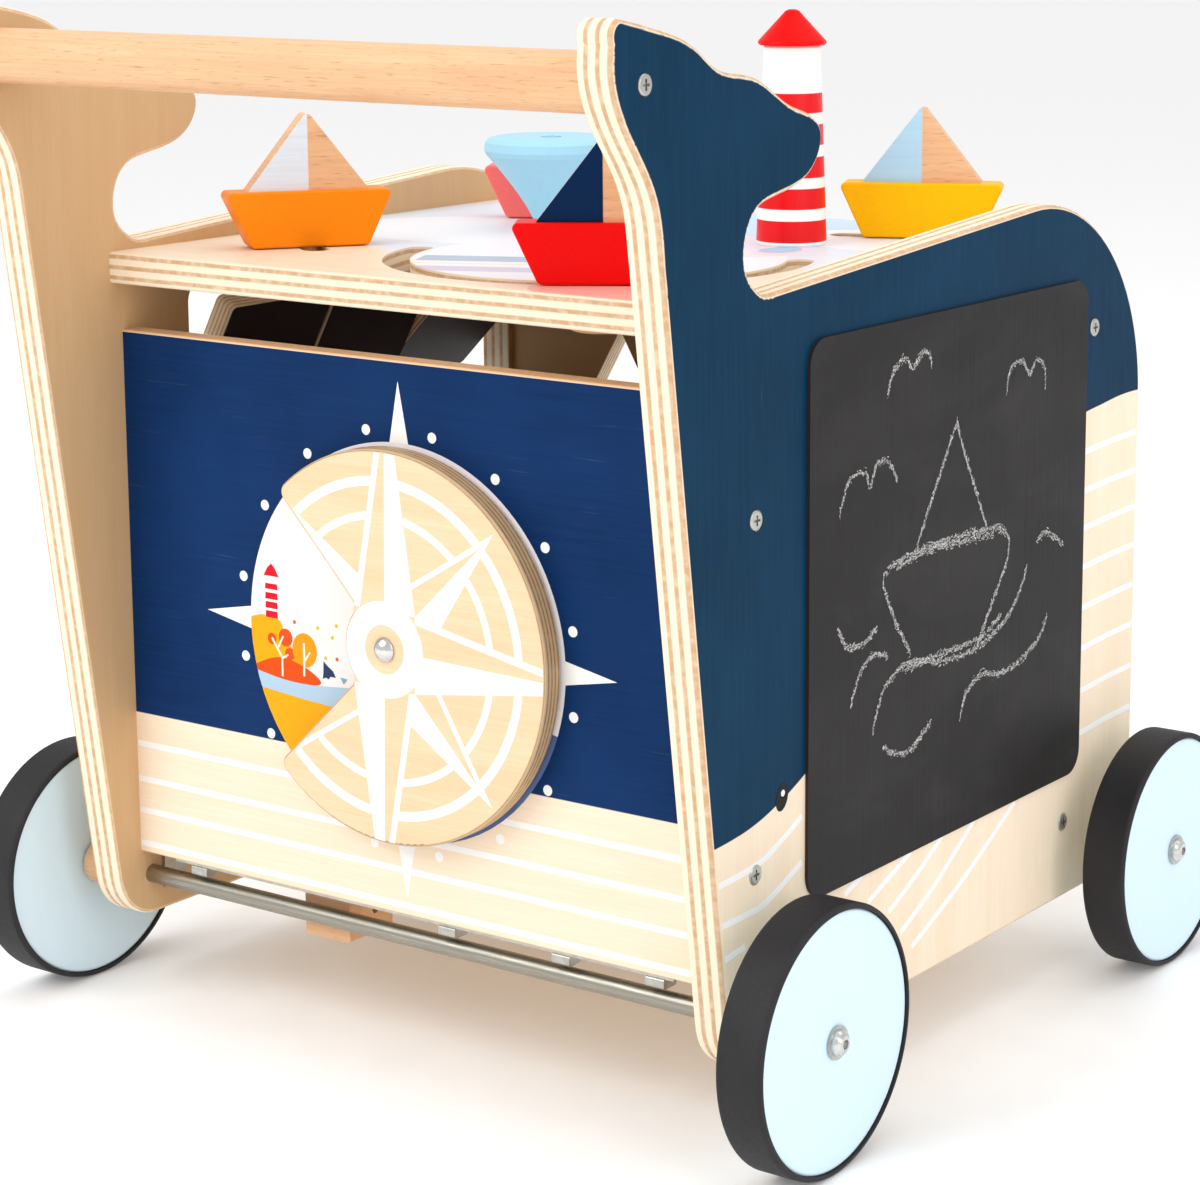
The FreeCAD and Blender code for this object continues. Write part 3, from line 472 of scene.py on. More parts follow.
def half_sail(name, node, heading, paint_colour):
    """A sail painted on its rear half and left bare on the other, split upright through its tip.

    heading is the boat's direction in degrees from +x.
    """
    low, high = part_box(node)
    middle = (low + high) / 2
    angle = math.radians(heading)
    shader = Shader(name, specular=0.08)
    bare, fibres = wood(shader, "xy", BEECH, BEECH_DARK, pore=0.5)
    along = shader.combine((shader.x, shader.y), (math.cos(angle), math.sin(angle)))
    split = middle.x * math.cos(angle) + middle.y * math.sin(angle)
    across = shader.combine(shader.facing[:2], (-math.sin(angle), math.cos(angle)))
    broad = shader.ramp(shader.math("ABSOLUTE", across), 0.9, 0.96)
    mask = shader.math("MULTIPLY", broad, shader.math("SUBTRACT", 1.0, shader.above(along, split)))
    colour = painted(shader, mask, bare, paint_colour, "xy", fibres, wear=0.04, streak=0.3)
    shader.bump(fibres, 0.07)
    return shader.finish(colour, fibres, (0.32, 0.46))


# the directions of the boats, in degrees from +x
RED_HEADING = 33.5
ORANGE_HEADING = 55.0
YELLOW_HEADING = 26.0

# red bands of the lighthouse: lower and upper height in mm
RED_BANDS = ((374.0, 384.5), (390.0, 400.0), (405.0, 415.0), (420.5, 430.5), (436.0, 445.5))


def banded_tower():
    shader = Shader("lighthouse_bands", specular=0.25, coat=0.05)
    fibres = shader.noise(grain_scale("z", 700.0, 30.0))
    red = 0.0
    for low, high in RED_BANDS:
        band = shader.math("SUBTRACT", shader.above(shader.z, low * MM), shader.above(shader.z, high * MM))
        red = shader.math("ADD", red, band)
    uneven = shader.ramp(shader.noise(50.0), 0.4, 0.8, 0.0, 0.4)
    white = shader.mix(uneven, srgb(250, 250, 248), srgb(236, 234, 230))
    crimson = shader.mix(uneven, srgb(232, 10, 22), srgb(212, 6, 18))
    shader.bump(fibres, 0.05)
    return shader.finish(shader.mix(red, white, crimson), fibres, (0.26, 0.4), peak=0.75)


def chalk_line():
    """Broken, powdery chalk."""
    shader = Shader("chalk_line", roughness=0.95, specular=0.1)
    powder = shader.noise(1300.0, 4.0, roughness=0.75)
    colour = shader.mix(shader.ramp(powder, 0.44, 0.56), srgb(72, 70, 69), srgb(222, 221, 218))
    shader.bump(powder, 0.2)
    return shader.finish(colour)


BARE_PLY = ply("birch_ply", "z", "x", FLOOR_LAYER)
ZINC = steel("zinc_steel", srgb(196, 196, 190), (0.26, 0.42), brushed=False)
AXLE_STEEL = steel("axle_steel", srgb(168, 164, 152), (0.24, 0.4), brushed=True)
BRIGHT_STEEL = steel("polished_steel", srgb(222, 222, 220), (0.14, 0.26), brushed=False)
BEECH_X = beech("beech_x", "x")
BEECH_Y = beech("beech_y", "y")
TYRE = rubber()
WHEEL = satin("wheel_paint", WHEEL_BLUE, "z", (0.3, 0.42), coat=0.04, streak=0.06)
KNOB_PAINT = satin("knob_paint", SKY_BLUE, "z", (0.3, 0.42), coat=0.04, streak=0.08)

# tones of birch lightened as painted light, for the brightly lit right side and rear panels
PAINTED_LIGHT_TONES = (PAINTED_LIGHT_BIRCH, PAINTED_LIGHT_BIRCH_DARK)
TAN_EDGE = (srgb(234, 198, 156), srgb(188, 138, 98))
SHADED_EDGE = (srgb(214, 186, 148), srgb(148, 108, 74))
DARK_LAYER_DEPTH = 12.6              # from a side's outer face to the middle of a brown layer, mm
DARK_LAYER = SIDE_OUT - DARK_LAYER_DEPTH

NODE_LOOKS = {
    "side_panel_right": ply("side_right_paint", "x", "z", SIDE_LAYER, side_paint(1), PAINTED_LIGHT_TONES,
                            first=DARK_LAYER),
    # painted shade on the left panel's inner face
    "side_panel_left": ply("side_left_paint", "x", "z", SIDE_LAYER, side_paint(-1),
                           first=-DARK_LAYER, painted_shade_side=1),
    "rear_panel": ply("rear_paint", "y", "x", PANEL_LAYER, rear_paint, PAINTED_LIGHT_TONES, TAN_EDGE),
    # painted shade on the front panel's inner face
    "front_panel": ply("front_paint", "y", "x", PANEL_LAYER, front_paint, painted_shade_side=-1),
    "chalkboard": chalk_face(),
    "top_board": top_board(),
    "floor_board": BARE_PLY,
    "compass_disc": ply("compass_ply", "y", "x", PANEL_LAYER, edge_tones=SHADED_EDGE),
    "handle_bar": BEECH_X,
    "axle_block": BEECH_X,
    "wheel_spacers": BEECH_X,
    "rear_axle": AXLE_STEEL,
    "front_axle": AXLE_STEEL,
    "rear_rail": ZINC,
    "tile_rods": AXLE_STEEL,
    "wheel_bolts": BRIGHT_STEEL,
    "compass_cap": BRIGHT_STEEL,
    "whirl_knob": KNOB_PAINT,
    "knob_screw": KNOB_PAINT,
    "lighthouse_tower": banded_tower(),
    "lighthouse_roof": satin("roof_paint", RED, "z"),
    "red_hull": satin("red_paint", RED, "y"),
    "orange_hull": satin("orange_paint", ORANGE, "y"),
    "yellow_hull": satin("yellow_paint", YELLOW, "y"),
    "pink_hull": satin("pink_paint", PINK, "y"),
    "red_sail": half_sail("sail_navy", "red_sail", RED_HEADING, srgb(1, 38, 80)),
    "orange_sail": half_sail("sail_white", "orange_sail", ORANGE_HEADING, srgb(222, 232, 243)),
    "yellow_sail": half_sail("sail_blue", "yellow_sail", YELLOW_HEADING, srgb(176, 216, 242)),
}


def look_of(name):
    """The material of a CAD node."""
    if name in NODE_LOOKS:
        return NODE_LOOKS[name]
    if name.endswith("_wheel_disc"):
        return WHEEL
    if name.endswith("_tyre"):
        return TYRE
    if name.startswith("tile_"):
        return tile_look(name + "_paint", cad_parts[name])
    if name.endswith("_boat_peg"):
        return BEECH_Y
    return ZINC


for node_name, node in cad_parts.items():
    node.data.materials.clear()
    node.data.materials.append(look_of(node_name))

# ---------------------------------------------------------------- flat outlines, in mm


def turned(points, degrees, about=(0.0, 0.0)):
    c, s = math.cos(math.radians(degrees)), math.sin(math.radians(degrees))
    ax, ay = about
    return [(ax + (x - ax) * c - (y - ay) * s, ay + (x - ax) * s + (y - ay) * c) for x, y in points]


def mirrored(points):
    return [(x, -y) for x, y in points]


def moved(points, dx, dy):
    return [(x + dx, y + dy) for x, y in points]


def polar(radius, degrees):
    """The point at that radius and angle about the hub."""
    return radius * math.cos(math.radians(degrees)), radius * math.sin(math.radians(degrees))


def ellipse(cx, cy, rx, ry=None, count=28):
    ry = rx if ry is None else ry
    steps = [2 * math.pi * k / count for k in range(count)]
    return [(cx + rx * math.cos(a), cy + ry * math.sin(a)) for a in steps]


def arc_band(inner, outer, start, end, step=2.0):
    """A piece of a ring between two radii and two angles."""
    count = max(2, int(abs(end - start) / step))
    angles = [start + (end - start) * k / count for k in range(count + 1)]
    return [polar(outer, a) for a in angles] + [polar(inner, a) for a in reversed(angles)]


def between(t, a, b, c, d):
    """The Catmull-Rom value at share t of the way from b to c."""
    square = 2 * a - 5 * b + 4 * c - d
    cube = 3 * b - a - 3 * c + d
    return 0.5 * (2 * b + (c - a) * t + square * t * t + cube * t ** 3)


def smooth(points, closed=False, steps=6):
    """A Catmull-Rom line through the points."""
    n = len(points)

    def at(i):
        return points[i % n] if closed else points[min(max(i, 0), n - 1)]

    line = []
    for i in range(n if closed else n - 1):
        p0, p1, p2, p3 = at(i - 1), at(i), at(i + 1), at(i + 2)
        for k in range(steps):
            t = k / steps
            line.append(tuple(between(t, *places) for places in zip(p0, p1, p2, p3)))
    return line if closed else line + [points[-1]]


def ribbon(points, width):
    """The outline of a stroke of that width along a line."""
    left, right = [], []
    last = len(points) - 1
    for i, (x, y) in enumerate(points):
        x0, y0 = points[max(i - 1, 0)]
        x1, y1 = points[min(i + 1, last)]
        length = math.hypot(x1 - x0, y1 - y0) or 1.0
        nx, ny = -(y1 - y0) / length * width / 2, (x1 - x0) / length * width / 2
        left.append((x + nx, y + ny))
        right.append((x - nx, y - ny))
    return left + right[::-1]


def cut(points, a, b, c):
    """The part of an outline where a * x + b * y >= c."""
    kept = []
    for (x0, y0), (x1, y1) in zip(points, points[1:] + points[:1]):
        d0, d1 = a * x0 + b * y0 - c, a * x1 + b * y1 - c
        if d0 >= 0:
            kept.append((x0, y0))
        if (d0 >= 0) != (d1 >= 0):
            t = d0 / (d0 - d1)
            kept.append((x0 + (x1 - x0) * t, y0 + (y1 - y0) * t))
    return kept


CIRCLE_SIDES = 72


def within_circle(points, radius):
    """The part of an outline inside a circle about the hub."""
    for k in range(CIRCLE_SIDES):
        x, y = polar(1.0, 360 * k / CIRCLE_SIDES)
        points = cut(points, -x, -y, -radius)
        if len(points) < 3:
            return []
    return points


# ---------------------------------------------------------------- prints: thin inked shapes on a face


class Face:
    """A flat face that takes prints: its origin, its two directions and its outward normal."""

    def __init__(self, origin, right, up, out):
        self.origin, self.right, self.up, self.out = (Vector(v) for v in (origin, right, up, out))

    def at(self, point, height):
        return (self.origin + self.right * point[0] + self.up * point[1] + self.out * height) * MM


REAR = Face((HUB_X, REAR_FACE, HUB_Z), (1, 0, 0), (0, 0, 1), (0, -1, 0))
DISC = Face((HUB_X, DISC_FACE, HUB_Z), (1, 0, 0), (0, 0, 1), (0, -1, 0))
RIGHT = Face((SIDE_OUT, 0, 0), (0, 1, 0), (0, 0, 1), (1, 0, 0))
LEFT = Face((-SIDE_OUT, 0, 0), (0, 1, 0), (0, 0, 1), (-1, 0, 0))
BOARD = Face((BOARD_FACE, 0, 0), (0, 1, 0), (0, 0, 1), (1, 0, 0))
FRONT = Face((0, FRONT_FACE, 0), (1, 0, 0), (0, 0, 1), (0, 1, 0))

SUNK = -0.05        # the hidden back of a print lies this far inside the board, mm
FIRST_LAYER = 0.07  # height of the first layer of ink, mm
LAYER = 0.035       # each later layer of ink stands this much prouder, mm
SHAPE_STEP = 0.00002    # each shape of one ink stands this much prouder than the one before, mm


def is_clockwise(points):
    pairs = zip(points, points[1:] + points[:1])
    return sum((x1 - x0) * (y1 + y0) for (x0, y0), (x1, y1) in pairs) > 0


def tidy_outline(points):
    """Drops points that repeat the one before, and makes the outline run counter-clockwise."""
    kept = [p for p, q in zip(points, points[-1:] + points[:-1]) if math.dist(p, q) > 0.01]
    return kept[::-1] if is_clockwise(kept) else kept


def print_on(name, face, outlines, material, body, layer=0):
    """One object of closed, very thin plates, one for each outline."""
    vertices, faces = [], []
    height = FIRST_LAYER + LAYER * layer
    flipped = face.right.cross(face.up).dot(face.out) < 0
    for outline in outlines:
        points = tidy_outline(outline)
        if len(points) < 3:
            continue
        start, n = len(vertices), len(points)
        height += SHAPE_STEP
        vertices += [face.at(p, height) for p in points]
        vertices += [face.at(p, SUNK) for p in points]
        top = list(range(start, start + n))
        under = list(range(start + 2 * n - 1, start + n - 1, -1))
        sides = [(start + k, start + n + k, start + n + (k + 1) % n, start + (k + 1) % n) for k in range(n)]
        plates = [top, under] + sides
        faces += [tuple(reversed(f)) for f in plates] if flipped else [tuple(f) for f in plates]
    mesh = bpy.data.meshes.new(name)
    mesh.from_pydata(vertices, [], faces)
    mesh.materials.append(material)
    piece = bpy.data.objects.new(name, mesh)
    bpy.context.scene.collection.objects.link(piece)
    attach(piece, body)
    return piece


WHITE_INK = flat_print("white_ink", WHITE)

# ---------------------------------------------------------------- compass rose

ROSE_TURN = -1.3            # the disc was left turned a little clockwise
ROSE_R = 90.7
MAIN = {"tip": 91.5, "root": 20.9, "slope": 0.165, "line": 3.3}       # half-width: root - slope * r
MINOR = {"tip": 88.5, "root": 0.229 * 88.5, "slope": 0.229, "line": 2.5}
RINGS = ((75.4, 79.8), (60.0, 63.6))
HUB_RING = (11.5, 22.6)
CUT_MARGIN = 1.9            # the print stops this far from the open sector's edges
RAY_START = 18.0            # a ray's print begins at this radius, under the hub ring
BLUNT_TIP = 0.05            # half-width of a ray's tip


def half_width(ray, radius):
    return ray["root"] - ray["slope"] * radius


def ray_edge(ray):
    """The two ends of the outer edge of a ray's counter-clockwise half."""
    tip = min(ray["tip"], ROSE_R)
    return (RAY_START, half_width(ray, RAY_START)), (tip, max(half_width(ray, tip), BLUNT_TIP))


def ray_half(ray):
    """The counter-clockwise half of a ray that points along +x."""
    root, tip = ray_edge(ray)
    return [(RAY_START, 0.0), (tip[0], 0.0), tip, root]


def ray_line(ray):
    """The white line along the outer edge of a bare half."""
    root, tip = ray_edge(ray)
    inner = half_width(ray, tip[0]) - ray["line"]
    meet = (ray["root"] - ray["line"]) / ray["slope"]
    end = (tip[0], inner) if inner > 0 else (meet, 0.0)
    return [root, tip, end, (RAY_START, root[1] - ray["line"])]


def clear_of_main(points, direction, neighbours):
    """Cuts a minor ray's outline off where the main rays beside it lie over it."""
    for main in neighbours:
        side = 1 if direction > main else -1
        ax, ay = polar(1.0, main)
        px, py = -ay * side, ax * side
        points = cut(points, px + MAIN["slope"] * ax, py + MAIN["slope"] * ay, MAIN["root"])
        if len(points) < 3:
            return []
    return points


def rose_outlines():
    """White shapes of the compass rose about the hub, before the rest turn."""
    shapes = []
    for direction in (90, 0, -90):
        shapes.append(turned(cut(mirrored(ray_half(MAIN)), 1.0, 1.0, 0.0), direction))
        shapes.append(turned(cut(ray_line(MAIN), 1.0, -1.0, 0.0), direction))
    for direction, neighbours in ((45, (0, 90)), (-45, (-90, 0))):
        shapes.append(clear_of_main(turned(mirrored(ray_half(MINOR)), direction), direction, neighbours[:1]))
        shapes.append(clear_of_main(turned(ray_line(MINOR), direction), direction, neighbours[1:]))
    upper = cut(mirrored(ray_half(MINOR)), 0.0, -1.0, CUT_MARGIN)
    shapes.append(clear_of_main(turned(upper, 135), 135, (90,)))
    lower = cut(ray_line(MINOR), 0.0, 1.0, CUT_MARGIN)
    shapes.append(clear_of_main(turned(lower, -135), -135, (-90,)))
    for inner, outer in RINGS:
        middle = (inner + outer) / 2
        main_edge = math.degrees(math.asin(half_width(MAIN, middle) / middle))
        minor_edge = math.degrees(math.asin(half_width(MINOR, middle) / middle))
        for main in (90, 0, -90):
            shapes.append(arc_band(inner, outer, main + main_edge, main + 45 - minor_edge))
            shapes.append(arc_band(inner, outer, main - 45 + minor_edge, main - main_edge))
    return [s for s in shapes if len(s) > 2]


rose = [within_circle(turned(s, ROSE_TURN), ROSE_R) for s in rose_outlines()]
print_on("compass_rose", DISC, rose, WHITE_INK, "compass", 0)
hub_ring = [arc_band(*HUB_RING, k * 90, k * 90 + 90, 5) for k in range(4)]
print_on("compass_hub_ring", DISC, hub_ring, WHITE_INK, "compass", 1)

# ---------------------------------------------------------------- rear panel prints

PICTURE_R = 93.4
DOT_RING_R = 99.5
DOT_R = 2.5
SPIKE = {"from": 91.5, "tip": 121.5, "half": 5.8}
REAR_LINES = (129.0, 111.0, 95.0, 78.0)
LINE_W = 3.0
LINE_REACH = SIDE_IN - 0.4      # lines across a board stop just short of the side panels
SECTOR_STEPS = 30
LEAF_R = 0.95
FLAKE_R = 1.3


def level_line(middle):
    """A level line across a board between the side panels."""
    low, high = middle - LINE_W / 2, middle + LINE_W / 2
    return [(-LINE_REACH, low), (LINE_REACH, low), (LINE_REACH, high), (-LINE_REACH, high)]


dots = [ellipse(*polar(DOT_RING_R, 11.25 + 22.5 * k), DOT_R, count=20) for k in range(16)]
spikes = [
    turned([(SPIKE["from"], -SPIKE["half"]), (SPIKE["tip"], 0), (SPIKE["from"], SPIKE["half"])], 90 * k)
    for k in range(4)
]
lines = [level_line(z - HUB_Z) for z in REAR_LINES]
print_on("rear_lines", REAR, lines, WHITE_INK, "frame", 0)
print_on("rear_dots_and_points", REAR, dots + spikes, WHITE_INK, "frame", 1)


def sector(start, end):
    """A slice of the round picture between two angles."""
    angles = [start + (end - start) * k / SECTOR_STEPS for k in range(SECTOR_STEPS + 1)]
    return [(0.0, 0.0)] + [polar(PICTURE_R, a) for a in angles]


def small_dots(places, radius):
    """Small round dots, for leaves and flakes."""
    return [ellipse(x, y, radius, count=10) for x, y in places]


def picture(name, outlines, colour, layer):
    """One ink of the round season picture behind the compass disc."""
    inside = [within_circle(o, PICTURE_R) for o in outlines]
    print_on(name, REAR, inside, flat_print(name + "_ink", colour), "frame", layer)


GOLD = srgb(244, 170, 0)
LEAF_ORANGE = srgb(226, 80, 22)
PALE_SKY = srgb(246, 235, 232)
WATER = srgb(176, 203, 224)
DARK_BLUE = srgb(32, 58, 98)

# halves of the round picture beside a diagonal, as cut() takes them
UPPER_LEFT, UPPER_RIGHT = (-1, 1, 0), (1, 1, 0)
LOWER_LEFT, LOWER_RIGHT = (-1, -1, 0), (1, -1, 0)

# autumn, the quarter that the open sector shows
picture("autumn_sky", [sector(135, 225)], PALE_SKY, 2)
cloud = smooth([
    (-86, 27), (-84, 36), (-77, 40), (-74, 47), (-66, 49), (-60, 44), (-55, 45), (-49, 40),
    (-47, 34), (-41, 32), (-41, 26), (-50, 24), (-58, 26), (-68, 24), (-77, 27),
], closed=True)
picture("autumn_cloud", [cut(cloud, *LOWER_LEFT)], srgb(250, 250, 250), 3)
hill = smooth([
    (-96, -4), (-89, 1.8), (-81, 1.9), (-75, 0.4), (-71, -8), (-64, -18), (-70, -30), (-98, -30),
], closed=True)
picture("autumn_hill", [hill], GOLD, 4)
tower = [(-84.2, 1.5), (-76.0, 1.5), (-76.8, 22), (-83.4, 22)]
picture("autumn_tower", [tower], srgb(255, 255, 255), 5)
tower_bands = [
    [(-84.0, low), (-76.2, low), (-76.5, high), (-83.7, high)]
    for low, high in ((1.5, 4.8), (6, 9.2), (10.4, 13.6), (15.2, 18))
]
roof = [(-84.6, 21.6), (-75.4, 21.6), (-77.6, 25.6), (-79.8, 27.7), (-82.2, 25.6)]
picture("autumn_tower_red", tower_bands + [roof], srgb(222, 8, 34), 6)
picture("autumn_crowns", [ellipse(-71.8, -7, 4.3), ellipse(-80.4, -8.6, 2.8), ellipse(-69.3, -14.6, 3)],
        LEAF_ORANGE, 5)
picture("autumn_gold_crown", [ellipse(-60, -11.5, 7.6, 8.2)], srgb(238, 154, 6), 6)
mound = smooth([
    (-93, -25), (-86, -20), (-75, -17), (-62, -19), (-51, -24.5), (-54, -27.5), (-75, -28),
], closed=True)
picture("autumn_mound", [mound], srgb(226, 78, 0), 7)
water = smooth([(-96, -24), (-74, -27.3), (-55, -27.6), (-31, -25.5)]) + smooth(
    [(-31, -37), (-48, -36), (-70, -34.5), (-96, -32)])
picture("autumn_water", [cut(cut(water, *UPPER_LEFT), *LOWER_LEFT)], WATER, 8)
ground = [(-98, -32.2), (-70, -34.6), (-48, -36), (-36, -36), (-70, -70)]
picture("autumn_shore", [cut(ground, *UPPER_LEFT)], GOLD, 7)
trunks = [
    ribbon([(-74.2, -26), (-74.1, -17), (-80.3, -8.1)], 1.1), ribbon([(-76.7, -12.5), (-73.2, -6.5)], 0.9),
    ribbon([(-74.1, -17.4), (-70.3, -15)], 0.9), ribbon([(-60.6, -24), (-60.2, -14), (-60.4, -8)], 1.2),
    ribbon([(-60.2, -17), (-56.6, -12)], 0.9),
]
picture("autumn_trunks", trunks, srgb(252, 240, 224), 8)
tail = [(-48.3, -15.2), (-45.9, -17.1), (-42.7, -19.1), (-41.1, -21.9), (-44.2, -21.8), (-45.5, -23.3),
        (-46.9, -22.6), (-49, -23.5), (-48.5, -20.6)]
picture("autumn_tail", [tail], DARK_BLUE, 9)
picture("autumn_small_tail", [[(-38, -21.4), (-34, -21.7), (-36.2, -24.3)]], srgb(120, 168, 206), 9)
orange_leaves = small_dots(((-66, 1.3), (-40, -13)), LEAF_R)
picture("autumn_leaves_orange", orange_leaves, srgb(230, 90, 26), 5)
gold_leaves = small_dots(((-51.5, 0.4), (-40, 3), (-42.6, -3), (-47, -13.4)), LEAF_R)
picture("autumn_leaves_gold", gold_leaves, srgb(240, 190, 10), 5)

# winter above, spring on the right, summer below: seen when the disc turns
picture("winter_sky", [sector(45, 135)], srgb(238, 234, 242), 2)
snow_hills = smooth([
    (-60, 50), (-42, 62), (-22, 58), (0, 66), (24, 57), (44, 63), (60, 50), (0, 8),
], closed=True)
picture("winter_snow", [cut(cut(snow_hills, *UPPER_RIGHT), *UPPER_LEFT)], srgb(250, 252, 255), 3)
FLAKES = ((-30, 76), (-14, 84), (2, 74), (16, 86), (30, 74), (-44, 70), (42, 78), (-2, 90))
picture("winter_flakes", small_dots(FLAKES, FLAKE_R), srgb(255, 255, 255), 4)
firs = [
    [(x - w, y), (x + w, y), (x + w * 0.4, y + w), (x + w * 0.7, y + w), (x, y + 2.6 * w),
     (x - w * 0.7, y + w), (x - w * 0.4, y + w)]
    for x, y, w in ((-24, 50, 6), (-10, 46, 7), (20, 50, 6.5))
]
picture("winter_firs", firs, srgb(72, 118, 130), 5)
picture("spring_sky", [sector(-45, 45)], srgb(240, 240, 246), 2)
# painted shadow: the blue-grey of the spring lake and of the summer sky and sea is partly print and partly
# the shadow that the disc casts on the lower right of the rim
lake = smooth([(26, -24), (50, -17), (70, -26), (98, -34), (98, -60), (60, -64)], closed=True)
picture("spring_lake_painted_shadow", [cut(lake, *UPPER_RIGHT)], srgb(92, 114, 160), 3)
blossom = [ellipse(66, 12, 9, 8), ellipse(58, 6, 6), ellipse(75, 5, 6.5)]
picture("spring_blossom", blossom, srgb(244, 168, 180), 4)
picture("spring_trunk", [ribbon([(66, -14), (66, 6)], 2.4)], srgb(150, 104, 76), 4)
# painted shadow: this blue-grey is partly print and partly the disc's shadow
picture("summer_sky_painted_shadow", [sector(225, 315)], srgb(112, 136, 182), 2)
sea = smooth([(-60, -52), (-30, -56), (0, -52), (30, -57), (60, -52), (62, -98), (-62, -98)], closed=True)
picture("summer_sea_painted_shadow", [cut(cut(sea, *LOWER_RIGHT), *LOWER_LEFT)], srgb(84, 106, 154), 3)
picture("summer_sun", [ellipse(0, -38, 9)], srgb(255, 208, 60), 4)
sun_boat = [[(-12, -66), (12, -66), (8, -74), (-8, -74)], [(0, -64), (0, -48), (10, -64)]]
picture("summer_boat", sun_boat, srgb(250, 250, 250), 5)

# ---------------------------------------------------------------- side panel prints

REAR_STRIPES = (
    ((-178, 129), (-141, 131), (-122, 137), (-105.5, 144)),
    ((-176, 111), (-150, 111), (-133, 112.5), (-105.5, 123)),
    ((-174, 94.5), (-150, 97)),
    ((-172, 78.5), (-158, 79.5)),
)
LOWER_STRIPES = (
    ((-70, 98), (-55, 103)),
    ((-50, 89), (-31, 96), (-12, 103)),
    ((-32, 79), (-8, 90), (16, 103)),
    ((-21, 66), (12, 82), (46, 103)),
    ((-11, 56), (36, 76), (86, 102)),
)
FRONT_STRIPES = (268, 248, 229, 209, 188, 167, 145, 123)
FRONT_STRIPE_Y = (151, 207)
STRIPE_DROP, STRIPE_RISE = 1.5, 0.6     # how far a front stripe's rear and front ends lie off its middle
FRONT_LINES = FRONT_STRIPES[2:] + (101,)

# the straight rear slope of a side panel, from its foot to the neck, and the width of its rounded edge
SLOPE_FOOT = (-165.0, 75.0)
SLOPE_NECK = (-206.5, 382.0)
EDGE_ROUND = 2.7


def on_side(points):
    """The part of an outline that is on the flat of a side panel, in front of its rear slope."""
    dy, dz = SLOPE_NECK[0] - SLOPE_FOOT[0], SLOPE_NECK[1] - SLOPE_FOOT[1]
    length = math.hypot(dy, dz)
    inward = (dz / length, -dy / length)
    return cut(points, *inward, inward[0] * SLOPE_FOOT[0] + inward[1] * SLOPE_FOOT[1] + EDGE_ROUND)


def side_stripes():
    outlines = [on_side(ribbon(smooth(list(points)), LINE_W)) for points in REAR_STRIPES + LOWER_STRIPES]
    start, end = FRONT_STRIPE_Y
    for z in FRONT_STRIPES:
        line = [(start, z - STRIPE_DROP), ((start + end) / 2, z), (end, z + STRIPE_RISE)]
        outlines.append(ribbon(line, LINE_W))
    return outlines


print_on("side_lines_right", RIGHT, side_stripes(), WHITE_INK, "frame", 0)
print_on("side_lines_left", LEFT, side_stripes(), WHITE_INK, "frame", 0)

BLACK_INK = flat_print("black_ink", srgb(16, 18, 22))
EYE_AT = (-121.5, 156.5)
EYE_RADII = (4.6, 6.4)
EYE_TILT = -20
GLINT_OFFSET = (0.6, 1.6)
GLINT_R = 1.5
for face, side in ((RIGHT, "right"), (LEFT, "left")):
    eye = turned(ellipse(*EYE_AT, *EYE_RADII), EYE_TILT, EYE_AT)
    print_on("eye_black_" + side, face, [eye], BLACK_INK, "frame", 1)
    glint = moved(ellipse(*GLINT_OFFSET, GLINT_R, count=14), *EYE_AT)
    print_on("eye_glint_" + side, face, [glint], WHITE_INK, "frame", 2)

front_lines = [level_line(z) for z in FRONT_LINES]
print_on("front_lines", FRONT, front_lines, WHITE_INK, "frame", 0)

# ---------------------------------------------------------------- chalk drawing

CHALK_STROKES = (
    ((-40, 321), (-35, 331), (-25, 336), (-18, 331), (-10, 337), (-3, 334), (-2, 329)),
    ((68, 309), (72, 319), (83, 321), (90, 314), (97, 320), (105, 315), (106, 305)),
    ((-79, 274), (-71, 288), (-58, 289), (-54, 282), (-48, 292), (-37, 290), (-31, 282)),
    ((22, 301), (4, 274), (-13, 248)),
    ((22, 301), (29, 285), (51, 246)),
    ((-36, 243), (-13, 246), (23, 246), (61, 244), (73, 237)),
    ((-30, 241), (-5, 244), (30, 243), (58, 241)),
    ((-36, 243), (-42, 237), (-34, 221), (-18, 199)),
    ((73, 237), (71, 226), (58, 209), (43, 189)),
    ((-50, 169), (-44, 183), (-36, 190), (-18, 195), (12, 189), (43, 189), (68, 196), (81, 205), (91, 219)),
    ((-22, 192), (10, 193), (44, 193), (66, 200)),
    ((28, 158), (34, 169), (49, 175), (63, 172), (83, 173), (102, 180), (112, 190)),
    ((-69, 185), (-61, 199), (-50, 205), (-38, 202)),
    ((-80, 223), (-72, 213), (-59, 212), (-47, 217)),
    ((-41, 160), (-29, 154), (-15, 154), (1, 162)),
    ((100, 230), (110, 233), (127, 224)),
)
CHALK_W = 3.4
CRUMB = (0.5, 1.5)          # shortest and longest half-length of one chalk mark, mm
CRUMB_THIN = (0.10, 0.30)   # thinnest and thickest half-width, mm
CRUMB_TILT = 24.0           # spread of the marks' directions about the stroke's, degrees
CRUMB_GAP = 0.30            # average distance between marks along a stroke, mm
CHALK_SEED = 7


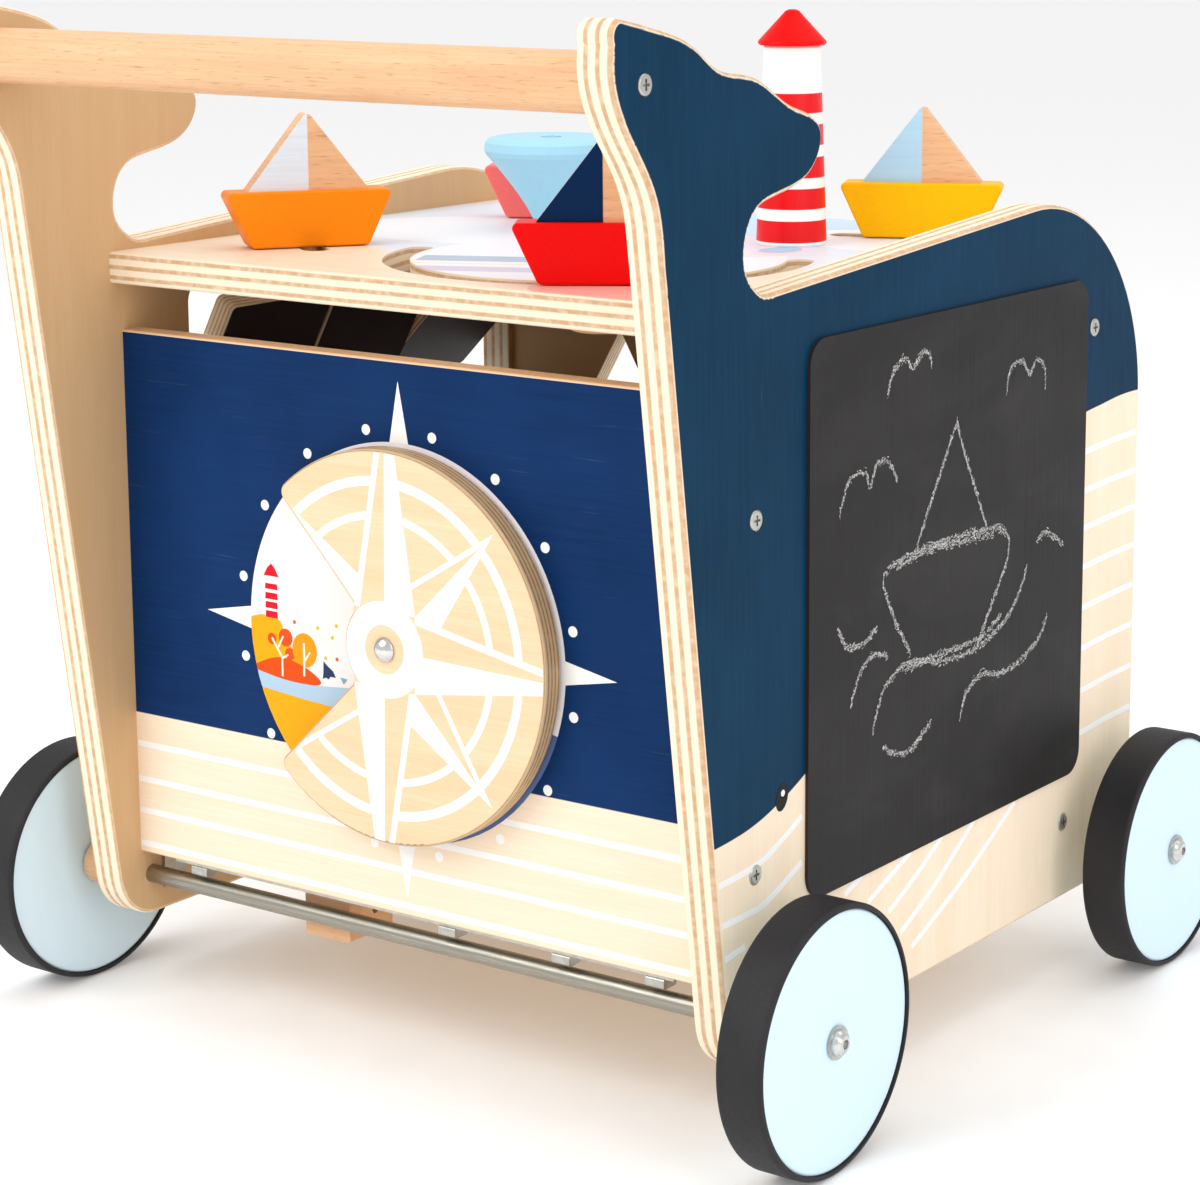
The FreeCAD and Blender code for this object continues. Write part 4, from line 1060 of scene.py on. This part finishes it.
def chalk_marks(points, dice):
    """A stroke as a dusting of small slanted marks."""
    marks = []
    line = smooth(list(points), steps=10)
    for (x0, y0), (x1, y1) in zip(line, line[1:]):
        length = math.dist((x0, y0), (x1, y1))
        angle = math.degrees(math.atan2(y1 - y0, x1 - x0))
        for _ in range(max(1, round(length / CRUMB_GAP))):
            t = dice.random()
            across = dice.gauss(0.0, CHALK_W / 4)
            half = dice.uniform(*CRUMB)
            thin = dice.uniform(*CRUMB_THIN)
            x, y = x0 + (x1 - x0) * t, y0 + (y1 - y0) * t
            mark = [(-half, -thin), (half * 0.6, -thin * 1.3), (half, thin * 0.4), (-half * 0.4, thin)]
            tilt = angle + dice.gauss(0.0, CRUMB_TILT)
            marks.append(moved(turned(mark, tilt), x, y + across))
    return marks


dice = random.Random(CHALK_SEED)
strokes = [mark for points in CHALK_STROKES for mark in chalk_marks(points, dice)]
print_on("chalk_drawing", BOARD, strokes, chalk_line(), "frame", 0)

# ---------------------------------------------------------------- floor, lights and camera, in metres

FLOOR_SIZE = 60.0
FLOOR_GLOW = 0.1            # keeps the far floor as pale as the lit floor near the walker
WORLD_STRENGTH = 0.84

SENSOR = 36.0               # mm
LENS = 92.8                 # mm
SHIFT = (-0.1025, -0.111)
CAMERA_AT = (0.8969, -1.1970, 0.5472)
CAMERA_PITCH = 79.34        # degrees up from looking straight down
CAMERA_YAW = 34.45          # degrees anticlockwise from looking along +y

AIM = (0.0, 0.0, 0.25)      # the point that the lights face
# name, place, size, power (W)
LIGHTS = (
    ("key", (-0.9, -1.9, 1.9), (1.8, 1.4), 27.0),
    ("fill", (2.1, -0.6, 1.2), (1.4, 1.6), 12.0),
    ("top", (0.2, 0.6, 2.4), (2.0, 2.0), 12.0),
)


def make_floor():
    bpy.ops.mesh.primitive_plane_add(size=FLOOR_SIZE)
    floor = bpy.context.object
    floor.name = "studio_floor"
    shader = Shader("studio_floor", roughness=0.75, specular=0.2)
    shader.surface.inputs["Emission Color"].default_value = (1.0, 1.0, 1.0, 1.0)
    shader.surface.inputs["Emission Strength"].default_value = FLOOR_GLOW
    speckle = shader.ramp(shader.noise(40.0), 0.3, 0.7)
    colour = shader.mix(speckle, srgb(252, 252, 252), srgb(247, 247, 247))
    floor.data.materials.append(shader.finish(colour))


def area_light(name, place, size, power):
    data = bpy.data.lights.new(name, "AREA")
    data.shape = "RECTANGLE"
    data.size, data.size_y = size
    data.energy = power
    light = bpy.data.objects.new(name, data)
    light.location = place
    light.rotation_euler = (Vector(AIM) - Vector(place)).to_track_quat("-Z", "Y").to_euler()
    bpy.context.scene.collection.objects.link(light)


def make_world():
    world = bpy.data.worlds.new("studio")
    world.use_nodes = True
    background = world.node_tree.nodes["Background"]
    background.inputs["Color"].default_value = (1.0, 1.0, 1.0, 1.0)
    background.inputs["Strength"].default_value = WORLD_STRENGTH
    bpy.context.scene.world = world


def make_camera():
    data = bpy.data.cameras.new("camera")
    data.sensor_width = SENSOR
    data.lens = LENS
    data.shift_x, data.shift_y = SHIFT
    data.dof.use_dof = False
    camera = bpy.data.objects.new("camera", data)
    camera.location = CAMERA_AT
    camera.rotation_euler = Euler((math.radians(CAMERA_PITCH), 0.0, math.radians(CAMERA_YAW)))
    bpy.context.scene.collection.objects.link(camera)
    bpy.context.scene.camera = camera


make_floor()
make_world()
make_camera()
for light in LIGHTS:
    area_light(*light)
bpy.context.scene.view_settings.view_transform = "Standard"
